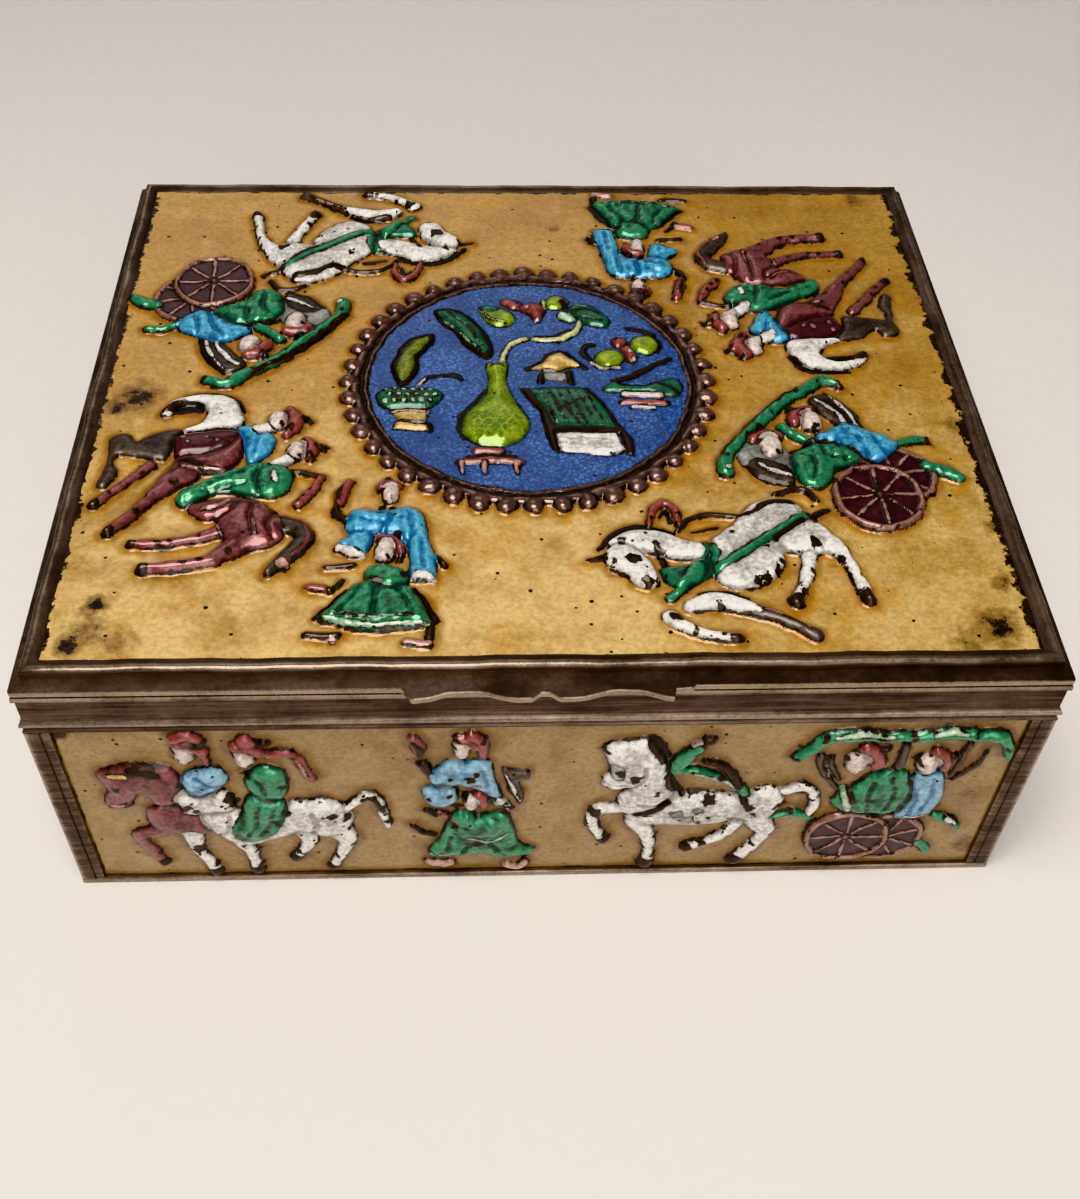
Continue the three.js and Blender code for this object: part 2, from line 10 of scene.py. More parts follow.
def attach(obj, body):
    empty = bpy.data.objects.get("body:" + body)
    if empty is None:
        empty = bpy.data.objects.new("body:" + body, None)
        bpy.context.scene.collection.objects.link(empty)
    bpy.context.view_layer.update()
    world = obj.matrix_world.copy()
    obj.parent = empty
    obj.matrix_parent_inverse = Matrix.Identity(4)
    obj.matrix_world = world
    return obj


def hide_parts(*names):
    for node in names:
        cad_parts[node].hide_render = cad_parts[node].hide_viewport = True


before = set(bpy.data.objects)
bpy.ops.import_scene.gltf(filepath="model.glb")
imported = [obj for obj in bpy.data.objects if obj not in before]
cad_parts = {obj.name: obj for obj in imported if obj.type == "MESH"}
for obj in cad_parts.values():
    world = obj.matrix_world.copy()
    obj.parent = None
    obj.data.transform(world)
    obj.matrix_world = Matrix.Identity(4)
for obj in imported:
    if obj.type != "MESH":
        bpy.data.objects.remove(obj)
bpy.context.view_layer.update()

MM = 0.001

# Sizes as in the solids; the moulding, the medallion's rings and the tuck differ by under 1 mm
WIDTH = 114.0
DEPTH = 95.0
CASE_HEIGHT = 37.45
FLOOR = 0.9
WALL_OUT = 1.7
WALL_IN = 2.5
LIP = 0.5
STILE = 2.8
BOTTOM_RAIL = 1.0
PANEL_TOP = 31.3
PANEL = 0.8
PANEL_TUCK = 0.45
PANEL_GROUND = 0.6
LID_LOW = 37.6
LID_TOP = 38.48
MOULDING_HEIGHT = 1.27
MOULDING_WIDTH = 1.1
MOULDING_HALF_X = 56.0
MOULDING_HALF_Y = 46.3
MOULDING_SHIFT = 0.7
LID_GROUND = 39.35
AXIS_Y = 47.6
AXIS_Z = 34.9
BARREL = 1.2
PIN = 0.55
PIN_LEFT = -56.4
PIN_RIGHT = 58.2
HINGE_HALF = 54.0
KNUCKLES = 5
KNUCKLE_GAP = 0.4
LEAF = 0.4
HINGE_REBATE = 33.3
MEDALLION_AT = (-0.85, 1.4)
MEDALLION_RADIUS = 20.4
BEADS = 44
BEAD_RING = 22.95
BEAD_RADIUS = 1.25
PROCESSION_CENTRE = (-1.4, 0.9)

# Enamel colours, in the order of their fields on the meshes
PAINTS = ["ground", "white", "green", "blue", "maroon", "red", "lime", "gold", "black", "copper", "cobalt",
          "deep", "wine", "flesh", "bare", "pink", "mint", "grey", "olive", "pale", "sky", "rust", "bead"]
FIELD_REACH = 4.0

# Fields are stored on the meshes three to a vector
PAINT_GROUPS = math.ceil(len(PAINTS) / 3)

# The pressed sheet leaves the ground in a soft fillet round each form
RELIEF = 0.85
FILLET = 0.22
FILLET_REACH = 1.3
HEIGHT_MELT = 0.22
PAINT_MELT = 0.7
BULGE_POWER = 0.6
LEAST_RADIUS = 0.04
FLAT_BORDER = 0.6

# Hand-made unevenness: each wave's height, length and place in the row of seeds
OUTLINE_WAVES = [(0.08, 2.6, 0), (0.12, 6.0, 4)]
SHEET_WAVES = [(0.035, 7.0, 2), (0.012, 1.6, 3)]
FOLD_HEIGHT = 0.07
FOLD_LENGTH = 1.5
TEAR_LENGTH = 0.9
TEAR_MOST = 0.22
TEAR_SHARE = 0.45

# Where the lattice of a plate is split fine: colour edges, bends and raised places
EDGE_NEAR = 0.5
BEND_LEAST = 0.09
RAISED_LEAST = 0.13

# Crests and hollows of the relief, found against its mean over this reach; the shader paints light onto the
# crests and shade into the hollows from them
CREST_REACH = 0.9
CREST_HEIGHT = 0.22
CLOTH = ("green", "blue", "sky")

# Points between two given places of a curve, and sides of a circle
CURVE_STEPS = 5
CIRCLE_SIDES = 40

# Worn patches down a leg: share of the way to the foot, sideways place and size in leg radii
LEG_CHIPS = [(0.46, 0.95, 0.36), (0.64, -0.9, 0.42), (0.82, 0.8, 0.5)]


# Raised forms

def smooth(points, closed):
    """More places along a rounded curve through the given ones; every value rides along."""
    count = len(points)
    row = []
    for n in range(count if closed else count - 1):
        near = [n - 1, n, n + 1, n + 2]
        near = [k % count for k in near] if closed else [min(max(k, 0), count - 1) for k in near]
        for step in range(CURVE_STEPS):
            t = step / CURVE_STEPS
            row.append(tuple(
                0.5 * (2 * b + (c - a) * t + (2 * a - 5 * b + 4 * c - d) * t ** 2
                       + (3 * b - a - 3 * c + d) * t ** 3)
                for a, b, c, d in zip(*(points[k] for k in near))))
    return row if closed else [*row, points[-1]]


def raised(kind, points, radii, rise, paint, over=False, fresh=False):
    """One raised form: over adds to what is under it, and fresh hides it."""
    return {"kind": kind, "points": points, "radii": radii, "rise": rise, "paint": paint,
            "over": over, "fresh": fresh, "torn": False}


def bar(ends, rise, paint, over=False):
    """A tapering rounded bar along a curve; each end or turn is its place and radius."""
    row = smooth(ends, False) if len(ends) > 2 else ends
    return raised("bar", [(u, v) for u, v, _ in row], [r for _, _, r in row], rise, paint, over)


def dome(u, v, radius, rise, paint, over=False):
    return bar([(u, v, radius), (u, v, radius)], rise, paint, over)


def patch(corners, rise, paint, soft=1.2, fresh=False):
    """A raised area with straight sides that rises over the soft width."""
    return raised("patch", corners, [soft], rise, paint, fresh=fresh)


def blob(outline, rise, paint, soft=1.6):
    """A raised area inside a smooth closed outline."""
    return patch(smooth(outline, True), rise, paint, soft)


def rim(u, v, radius, width, rise, paint, over=False):
    return raised("rim", [(u, v)], [radius, width], rise, paint, over)


def mark(u, v, radius, paint="black"):
    """A small flat spot of another colour or of lost enamel, with a torn edge."""
    return {**dome(u, v, 0.85 * radius, -0.06, paint, over=True), "torn": True}


def marks(spots, paint="black"):
    return [mark(u, v, radius, paint) for u, v, radius in spots]


def stripe(ends, paint="black", rise=0.14):
    """A thin line that lies over what is under it."""
    return bar(ends, rise, paint, over=True)


def crease(*ends, width=0.42, depth=0.30):
    """A pressed-in fold."""
    return [bar([(u, v, width) for u, v in ends], -depth, None, over=True)]


def limb(ends, rise, paint):
    """A leg with a dark foot and with enamel lost from its lower part."""
    forms = [bar(ends, rise, paint)]
    path = smooth(ends, False)
    for share, side, size in LEG_CHIPS:
        u, v, r = path[int(share * (len(path) - 1))]
        forms.append(mark(u + side * r, v + 0.3 * side * r, size * r))
    u, v, r = path[-1]
    return [*forms, dome(u, v, r * 1.1, 0.1, "black", over=True)]


def place(forms, at, turn=0.0):
    c = math.cos(math.radians(turn))
    s = math.sin(math.radians(turn))
    return [{**form, "points": [(at[0] + c * u - s * v, at[1] + s * u + c * v) for u, v in form["points"]]}
            for form in forms]


def circle(u, v, radius):
    angles = [2 * math.pi * n / CIRCLE_SIDES for n in range(CIRCLE_SIDES)]
    return [(u + radius * math.cos(a), v + radius * math.sin(a)) for a in angles]


def wheel(u, v, radius, rise, turn):
    """A dark disc with pale spokes and a worn rim; it hides what is behind it."""
    forms = [
        patch(circle(u, v, radius), rise * 0.6, "wine", 0.5, fresh=True),
        rim(u, v, radius, 0.95, rise, "rust"),
    ]
    for n in range(8):
        c = math.cos(math.radians(45 * n + turn))
        s = math.sin(math.radians(45 * n + turn))
        inner = 0.16 * radius
        outer = 0.80 * radius
        spoke = [(u + inner * c, v + inner * s, 0.20), (u + outer * c, v + outer * s, 0.26)]
        forms.append(stripe(spoke, "pink", 0.2))
    return [*forms, dome(u, v, 0.5, 0.25, "copper", over=True)]


def head(u, v, radius, hair_heading, rise=1.4):
    """A small plain head: a pale face, hair on one side and a knot of hair."""
    c = math.cos(math.radians(hair_heading))
    s = math.sin(math.radians(hair_heading))
    return [
        bar([(u + radius * (0.85 * c - 0.7 * s), v + radius * (0.85 * s + 0.7 * c), 0.5 * radius),
             (u + 1.0 * radius * c, v + 1.0 * radius * s, 0.62 * radius),
             (u + radius * (0.8 * c + 0.8 * s), v + radius * (0.8 * s - 0.8 * c), 0.45 * radius)],
            rise * 0.85, "red"),
        dome(u + 1.65 * radius * c, v + 1.65 * radius * s, 0.34 * radius, rise * 0.6, "black"),
        bar([(u, v - 0.30 * radius, 0.68 * radius), (u, v + 0.20 * radius, 0.78 * radius)], rise, "flesh"),
        bar([(u, v + 0.1 * radius, 0.12 * radius), (u, v - 0.2 * radius, 0.16 * radius)],
            0.12, None, over=True),
        mark(u - 0.62 * radius, v + 0.35 * radius, 0.16 * radius),
        mark(u + 0.30 * radius, v - 0.62 * radius, 0.14 * radius),
    ]


# The lid's procession; the second half repeats the first, turned about the middle

def lid_horse():
    return [
        *limb([(30.4, -30.2, 1.0), (29.9, -32.3, 0.85), (29.0, -34.5, 0.7), (27.9, -36.8, 0.85)],
            0.8, "white"),
        *limb([(13.7, -39.0, 1.1), (15.0, -40.3, 0.85), (17.2, -41.5, 0.6), (20.6, -42.0, 0.75)],
            0.8, "white"),
        mark(14.2, -39.2, 0.75),
        bar([(28.0, -19.8, 0.35), (30.0, -18.9, 0.45), (31.7, -19.1, 0.45), (32.8, -20.8, 0.35)],
            0.6, "black"),
        blob([(19.2, -27.8), (21.6, -25.2), (23.4, -22.8), (26.0, -21.0), (29.4, -20.6), (31.2, -22.6),
            (32.2, -25.4), (33.4, -27.8), (31.8, -29.7), (29.2, -29.6), (27.6, -29.4), (27.5, -31.4),
            (25.2, -34.0), (22.4, -35.0), (20.0, -34.2), (19.0, -31.0)], 1.35, "white", 2.6),
        *limb([(31.2, -26.6, 2.2), (33.5, -28.5, 1.35), (34.9, -31.2, 0.75), (36.1, -36.6, 0.8)],
            1.1, "white"),
        bar([(21.6, -37.4, 1.1), (24.2, -38.5, 0.9), (27.0, -40.2, 0.75), (29.4, -41.7, 0.95)],
            0.85, "bare"),
        bar([(16.0, -37.4, 0.9), (18.4, -36.7, 1.3), (21.2, -37.2, 1.1), (23.6, -38.2, 0.5)], 1.1, "white"),
        mark(19.2, -37.9, 0.5),
        # A pink streak down the dark lower leg: a painted highlight
        stripe([(23.4, -37.9, 0.15), (26.6, -39.5, 0.2), (28.8, -41.0, 0.15)], "pink", 0.08),
        blob([(7.4, -28.0), (9.2, -26.1), (11.6, -25.4), (14.2, -26.0), (16.8, -27.2), (18.8, -28.0),
            (18.8, -30.2), (16.2, -30.6), (13.4, -29.8), (11.6, -29.2), (9.4, -28.8)], 1.25, "white", 1.9),
        blob([(6.9, -29.7), (8.2, -28.2), (10.2, -28.4), (11.5, -29.8), (12.5, -31.8), (12.8, -33.6),
            (11.7, -34.7), (10.2, -34.2), (8.6, -32.4), (7.2, -31.2)], 1.5, "white", 1.7),
        *marks([(10.2, -31.1, 0.8), (11.4, -34.1, 0.6), (9.0, -27.9, 0.55), (8.0, -31.0, 0.35)]),
        stripe([(5.0, -30.0, 0.25), (6.9, -29.8, 0.4)]),
        stripe([(6.4, -28.6, 0.3), (8.2, -26.3, 0.4), (10.4, -25.1, 0.45), (13.0, -25.2, 0.4),
            (15.2, -26.1, 0.3)]),
        stripe([(12.4, -28.2, 0.25), (13.6, -31.0, 0.4), (14.6, -33.2, 0.5)]),
        blob([(12.9, -31.8), (15.2, -31.4), (17.9, -30.9), (18.2, -32.8), (16.1, -34.5), (14.0, -34.4)],
            0.9, "deep", 1.2),
        stripe([(18.7, -27.9, 0.5), (19.2, -30.0, 0.8), (17.4, -32.0, 0.8), (13.8, -36.2, 0.6)],
            "green", 0.3),
        stripe([(32.6, -23.0, 0.5), (29.6, -24.7, 0.6), (26.4, -27.4, 0.65), (14.6, -35.2, 0.6)],
            "green", 0.3),
        stripe([(33.9, -22.4, 0.4), (31.2, -23.7, 0.45)]),
        stripe([(30.2, -24.9, 0.3), (26.8, -27.9, 0.3)]),
        stripe([(24.6, -23.6, 0.25), (26.6, -22.1, 0.4), (29.8, -21.5, 0.35)]),
        stripe([(17.0, -36.0, 0.3), (20.2, -35.4, 0.4), (22.4, -36.4, 0.35)]),
        *marks([(27.0, -31.2, 0.5), (26.4, -32.6, 0.45), (25.0, -33.6, 0.4), (23.6, -34.3, 0.4),
            (31.5, -28.2, 0.8), (21.9, -26.6, 0.3)]),
        bar([(15.8, -25.6, 0.35), (17.4, -23.8, 0.42), (20.0, -23.1, 0.48), (24.0, -23.7, 0.35)],
            0.6, "black"),
        stripe([(17.4, -25.9, 0.18), (20.2, -25.3, 0.28)]),
        bar([(12.3, -24.8, 0.4), (13.0, -22.6, 0.55), (14.5, -21.2, 0.6), (15.8, -22.4, 0.55),
            (15.9, -24.6, 0.45)], 0.8, "red"),
        stripe([(13.7, -23.4, 0.22), (14.6, -22.5, 0.3), (15.1, -24.2, 0.22)]),
    ]


def lid_cart():
    return [
        *wheel(43.0, -16.7, 5.2, 0.75, 10),
        bar([(43.6, -11.6, 0.55), (46.0, -10.3, 0.6), (48.2, -10.2, 0.5)], 0.8, "green"),
        mark(48.4, -10.6, 0.5),
        bar([(47.2, -15.2, 0.8), (49.2, -15.9, 1.0), (50.8, -17.0, 0.9)], 1.0, "green"),
        blob([(34.4, -2.8), (36.6, -1.4), (39.0, -3.4), (40.7, -6.6), (40.6, -8.8), (38.2, -8.2),
            (36.0, -5.6)], 0.6, "bare", 0.8),
        stripe([(35.4, -2.8, 0.3), (37.6, -5.0, 0.4), (38.6, -7.8, 0.3)], "white"),
        stripe([(37.2, -2.0, 0.2), (39.2, -4.8, 0.3), (40.0, -7.8, 0.25)], "white"),
        stripe([(37.0, -1.2, 0.25), (39.6, -4.2, 0.35), (40.9, -8.2, 0.35)]),
        blob([(24.0, -11.8), (25.6, -9.9), (28.6, -9.4), (30.8, -12.6), (30.6, -17.2), (27.2, -17.0),
            (24.6, -14.4)], 0.45, "grey", 1.0),
        blob([(25.4, -14.4), (27.4, -13.6), (30.0, -15.2), (30.6, -17.8), (28.4, -17.6), (26.4, -16.4)],
            0.6, "bare", 0.8),
        stripe([(26.6, -14.6, 0.25), (28.6, -16.0, 0.35), (30.2, -16.6, 0.25)], "white"),
        stripe([(25.2, -14.8, 0.25), (27.2, -17.2, 0.35), (30.3, -18.1, 0.3)]),
        bar([(22.6, -15.8, 1.1), (22.9, -13.0, 0.9), (25.4, -9.8, 0.85), (28.4, -6.2, 0.95),
            (31.4, -3.0, 0.95), (34.2, -0.8, 0.9), (36.6, 0.9, 0.9), (39.0, 0.4, 0.6)], 1.15, "green"),
        dome(39.4, 0.0, 0.6, 0.8, "black"),
        mark(23.1, -15.6, 0.5, "white"),
        *marks([(22.8, -13.4, 0.3), (26.0, -9.4, 0.3), (29.6, -5.4, 0.3), (33.2, -1.4, 0.3),
            (36.2, 0.4, 0.3)]),
        # A black line along the left side of the pole: a painted shadow
        stripe([(22.0, -13.2, 0.2), (24.6, -9.5, 0.25), (28.0, -5.5, 0.25), (33.4, -0.6, 0.2)]),
        bar([(30.4, -7.8, 0.7), (32.0, -9.4, 0.8), (34.0, -10.8, 0.8)], 1.1, "green"),
        *head(34.3, -6.9, 1.9, 135),
        blob([(35.2, -8.8), (38.4, -7.3), (41.0, -8.2), (43.6, -9.8), (44.4, -11.4), (43.0, -13.4),
            (41.4, -14.4), (39.2, -13.2), (36.8, -11.6), (34.4, -10.4)], 1.25, "blue", 2.0),
        *crease((38.0, -8.6), (39.6, -10.6), (40.2, -13.0)),
        *crease((41.4, -9.2), (41.6, -11.2), (42.4, -12.6)),
        *head(28.6, -11.6, 2.0, 105),
        blob([(30.8, -13.0), (32.8, -11.4), (35.6, -10.8), (38.2, -11.8), (39.5, -13.4), (38.4, -14.8),
            (36.2, -16.0), (35.2, -18.0), (33.4, -18.9), (31.4, -18.0), (30.4, -15.6)], 1.35, "green", 2.0),
        *crease((32.2, -13.2), (33.4, -15.0), (33.0, -17.6)),
        *crease((35.0, -12.0), (35.4, -13.8), (37.6, -14.2)),
        stripe([(31.0, -12.2, 0.25), (33.6, -11.0, 0.3), (35.6, -10.8, 0.2)]),
        *wheel(40.4, -20.4, 5.6, 1.05, 3),
    ]


def lid_riders():
    return [
        blob([(-52.2, -9.2), (-50.0, -8.6), (-48.8, -9.8), (-46.8, -8.2), (-43.6, -7.8), (-44.4, -10.6),
            (-45.2, -13.2), (-48.4, -12.6), (-50.6, -12.2), (-51.0, -13.6), (-50.4, -15.2), (-51.2, -17.8),
            (-52.5, -17.6), (-51.9, -13.0)], 0.75, "bare", 1.2),
        blob([(-46.9, -5.0), (-46.6, -3.6), (-45.0, -2.2), (-42.4, -1.4), (-39.6, -1.4), (-37.6, -2.4),
            (-36.6, -4.6), (-36.4, -7.4), (-39.6, -8.2), (-43.8, -8.0), (-41.8, -6.6), (-41.0, -5.0),
            (-41.6, -3.7), (-43.0, -3.3), (-44.6, -3.8), (-45.6, -5.2)], 1.25, "white", 1.8),
        stripe([(-46.4, -4.4, 0.5), (-44.4, -3.8, 0.8), (-42.2, -3.8, 0.8)], rise=0.05),
        stripe([(-44.0, -1.4, 0.2), (-41.0, -1.0, 0.3), (-38.0, -1.8, 0.3), (-36.4, -4.4, 0.3)]),
        *limb([(-46.8, -14.2, 0.9), (-48.6, -16.6, 0.7), (-52.4, -20.8, 0.7)], 0.75, "maroon"),
        blob([(-44.4, -9.6), (-42.0, -8.2), (-37.6, -7.9), (-36.0, -9.6), (-38.4, -11.4), (-40.6, -12.4),
            (-43.8, -12.8)], 1.1, "wine", 1.6),
        *marks([(-43.2, -9.6, 0.4), (-42.6, -10.8, 0.4), (-40.4, -9.8, 0.4), (-39.2, -10.2, 0.4)], "pink"),
        blob([(-43.8, -13.2), (-40.6, -12.3), (-38.0, -10.8), (-36.2, -9.0), (-35.4, -11.0), (-36.0, -13.4),
            (-37.4, -15.4), (-40.2, -15.8), (-42.6, -15.2)], 1.3, "maroon", 2.0),
        *limb([(-42.4, -15.2, 2.0), (-44.2, -17.4, 1.5), (-46.0, -20.4, 0.85), (-50.0, -25.3, 0.75)],
            1.15, "maroon"),
        stripe([(-42.6, -15.2, 0.2), (-40.2, -15.2, 0.25), (-37.4, -15.4, 0.2)], "pink"),
        stripe([(-43.0, -14.0, 0.3), (-41.4, -14.4, 0.4), (-40.4, -15.2, 0.3)]),
        *limb([(-37.0, -25.2, 1.1), (-39.6, -26.3, 0.8), (-42.6, -27.0, 0.65), (-47.0, -27.4, 0.7)],
            0.8, "maroon"),
        bar([(-30.4, -24.2, 1.3), (-28.4, -24.9, 1.3), (-27.4, -26.4, 1.2), (-28.4, -28.4, 1.2),
            (-30.0, -30.4, 1.0), (-31.2, -32.0, 0.5)], 0.95, "bare"),
        mark(-29.6, -30.8, 0.8, "pink"),
        stripe([(-27.4, -24.8, 0.25), (-26.8, -27.0, 0.3), (-28.4, -29.4, 0.25)], "maroon"),
        blob([(-41.4, -21.4), (-39.2, -20.2), (-36.0, -19.8), (-33.4, -20.2), (-31.4, -21.8),
            (-30.2, -24.4), (-29.8, -26.4), (-31.2, -27.8), (-33.6, -28.4), (-35.8, -27.8), (-37.2, -25.6),
            (-37.8, -23.8), (-39.6, -23.6)], 1.4, "maroon", 2.6),
        *limb([(-34.0, -26.6, 1.9), (-36.4, -28.8, 1.3), (-38.8, -30.3, 0.9), (-45.0, -31.3, 0.8)],
            1.15, "maroon"),
        *crease((-40.6, -21.6), (-38.6, -22.4), (-36.0, -21.0)),
        *crease((-37.2, -23.4), (-35.8, -22.4), (-35.4, -20.8)),
        *crease((-33.6, -21.0), (-33.8, -23.6), (-33.2, -26.0)),
        *crease((-31.4, -22.6), (-31.8, -24.8), (-31.0, -26.8)),
        stripe([(-39.6, -22.2, 0.2), (-37.6, -21.8, 0.25), (-36.4, -20.8, 0.2)], "pink"),
        stripe([(-37.4, -24.6, 0.2), (-36.8, -26.2, 0.25)], "pink"),
        stripe([(-33.4, -24.0, 0.2), (-33.0, -26.6, 0.3)], "pink"),
        blob([(-37.0, -8.0), (-35.0, -7.2), (-33.2, -8.2), (-32.0, -9.8), (-32.4, -11.8), (-33.6, -13.4),
            (-34.8, -14.2), (-35.7, -12.0), (-36.2, -10.0)], 1.3, "blue", 1.8),
        *crease((-34.0, -9.0), (-34.2, -11.0), (-34.6, -13.2)),
        bar([(-32.6, -7.4, 1.0), (-34.2, -8.2, 0.9)], 1.1, "white"),
        *head(-32.0, -6.3, 1.8, 10),
        bar([(-30.6, -4.6, 0.8), (-29.6, -6.6, 0.9), (-30.8, -8.8, 0.7)], 1.15, "red"),
        *marks([(-30.2, -4.2, 0.5), (-28.4, -6.0, 0.6), (-30.4, -7.8, 0.6)]),
        blob([(-36.6, -15.0), (-33.4, -13.8), (-31.0, -14.4), (-29.4, -16.2), (-29.8, -18.4),
            (-31.6, -19.9), (-34.4, -19.8), (-37.0, -19.2), (-39.2, -19.8), (-42.0, -21.3), (-43.0, -19.8),
            (-42.2, -18.2), (-39.8, -16.8)], 1.5, "green", 2.0),
        *crease((-33.2, -15.2), (-33.8, -17.4), (-33.2, -19.2)),
        *crease((-35.4, -16.0), (-38.2, -17.6), (-41.4, -19.0)),
        *crease((-35.0, -18.2), (-37.6, -18.6), (-39.8, -19.2)),
        stripe([(-31.6, -16.6, 0.3), (-31.4, -17.8, 0.4)], "white"),
        bar([(-30.0, -13.2, 1.0), (-31.6, -14.4, 0.9)], 1.3, "white"),
        *head(-29.4, -12.0, 1.8, 15),
        *marks([(-26.0, -11.2, 0.6), (-27.4, -13.2, 0.6)]),
        bar([(-29.8, -15.3, 0.35), (-28.0, -15.6, 0.35), (-25.9, -16.2, 0.4)], 0.6, "black"),
        bar([(-26.0, -16.5, 0.5), (-27.1, -18.8, 0.8), (-28.7, -21.0, 0.7)], 0.8, "red"),
        *marks([(-27.4, -18.6, 0.3), (-27.9, -19.8, 0.3), (-28.8, -20.6, 0.3)]),
    ]


def lid_walkers():
    return [
        bar([(-22.7, -17.4, 0.6), (-23.4, -19.4, 0.75), (-23.7, -21.0, 0.6)], 0.8, "red"),
        stripe([(-23.5, -18.2, 0.25), (-23.8, -20.4, 0.25)]),
        bar([(-24.1, -21.6, 0.5), (-23.7, -22.8, 0.6), (-22.8, -23.6, 0.5)], 0.7, "black"),
        bar([(-26.2, -40.8, 0.4), (-24.2, -41.1, 0.45), (-22.8, -41.0, 0.4)], 0.5, "black"),
        mark(-23.4, -41.6, 0.5, "pink"),
        bar([(-12.8, -39.6, 0.6), (-12.9, -41.4, 0.6)], 0.6, "black"),
        bar([(-15.4, -42.2, 0.45), (-12.9, -42.4, 0.5)], 0.5, "pink"),
        bar([(-24.7, -31.0, 0.35), (-21.4, -30.7, 0.35)], 0.5, "black"),
        bar([(-26.4, -34.0, 0.5), (-25.0, -34.4, 0.6), (-24.0, -34.8, 0.4)], 0.6, "red"),
        stripe([(-24.2, -34.6, 0.3), (-22.8, -33.2, 0.35)]),
        stripe([(-25.4, -38.4, 0.4), (-23.8, -36.6, 0.3), (-22.2, -34.6, 0.3)]),
        stripe([(-14.9, -34.4, 0.35), (-13.6, -36.4, 0.5), (-12.3, -39.0, 0.5)]),
        bar([(-12.6, -29.6, 0.5), (-11.3, -30.8, 0.35)], 0.7, "white"),
        stripe([(-12.0, -30.0, 0.25), (-11.2, -31.0, 0.3)]),
        blob([(-22.6, -22.6), (-21.0, -21.7), (-18.0, -21.9), (-15.5, -21.7), (-14.0, -22.6),
            (-13.3, -24.8), (-13.3, -27.0), (-15.6, -27.4), (-17.2, -26.2), (-19.2, -26.2), (-21.0, -26.4),
            (-22.7, -25.2)], 1.15, "blue", 1.8),
        blob([(-21.6, -25.6), (-23.8, -27.8), (-23.3, -28.7), (-20.7, -29.5), (-19.7, -27.6),
            (-20.0, -26.0)], 1.2, "blue", 1.3),
        stripe([(-23.6, -28.3, 0.25), (-22.0, -29.0, 0.4), (-20.5, -29.5, 0.25)], "white"),
        blob([(-15.4, -26.2), (-13.4, -26.2), (-12.6, -29.0), (-11.9, -31.2), (-12.4, -33.0),
            (-15.0, -33.2), (-15.4, -30.0)], 1.2, "blue", 1.4),
        stripe([(-15.1, -33.0, 0.3), (-13.8, -32.8, 0.45), (-12.3, -33.2, 0.3)], "white"),
        stripe([(-21.8, -23.0, 0.5), (-19.8, -23.6, 0.6), (-18.2, -24.0, 0.4)], "blue", 0.3),
        *crease((-18.0, -22.6), (-17.8, -24.2), (-18.6, -25.8)),
        *crease((-15.6, -22.6), (-15.0, -24.8), (-15.2, -26.6)),
        *crease((-13.9, -27.0), (-13.8, -29.4), (-13.6, -31.6)),
        *head(-17.7, -19.5, 1.5, 100),
        *marks([(-16.5, -17.5, 0.5), (-18.6, -21.3, 0.6), (-17.4, -21.6, 0.5)]),
        blob([(-20.2, -32.4), (-19.4, -30.8), (-17.0, -31.0), (-15.7, -31.8), (-15.4, -33.4),
            (-17.0, -34.6), (-19.6, -34.2)], 1.35, "green", 1.4),
        blob([(-21.2, -33.6), (-19.6, -33.0), (-17.4, -34.0), (-15.4, -34.0), (-13.9, -36.4),
            (-12.7, -38.8), (-13.2, -40.0), (-16.0, -40.7), (-20.0, -40.6), (-23.0, -39.8), (-25.1, -38.7),
            (-23.4, -36.4)], 1.25, "green", 2.0),
        stripe([(-24.8, -38.7, 0.2), (-22.0, -39.7, 0.3), (-18.0, -40.1, 0.3), (-13.1, -39.9, 0.25)],
            "mint"),
        stripe([(-23.6, -38.3, 0.12), (-20.6, -39.0, 0.16), (-14.4, -39.0, 0.12)], "mint"),
        *crease((-20.8, -34.6), (-21.6, -36.4), (-23.0, -38.2)),
        *crease((-18.8, -34.8), (-18.8, -36.6), (-19.2, -38.4)),
        *crease((-16.6, -34.8), (-15.8, -36.4), (-14.8, -38.2)),
        stripe([(-19.4, -33.2, 0.25), (-18.6, -33.8, 0.3)], rise=0.0),
        *head(-18.2, -28.8, 1.65, 60, 1.5),
        stripe([(-17.0, -27.2, 0.3), (-16.4, -28.6, 0.4), (-16.6, -30.0, 0.3)], "red"),
        mark(-16.0, -33.0, 0.5),
    ]


# The front panel's figures

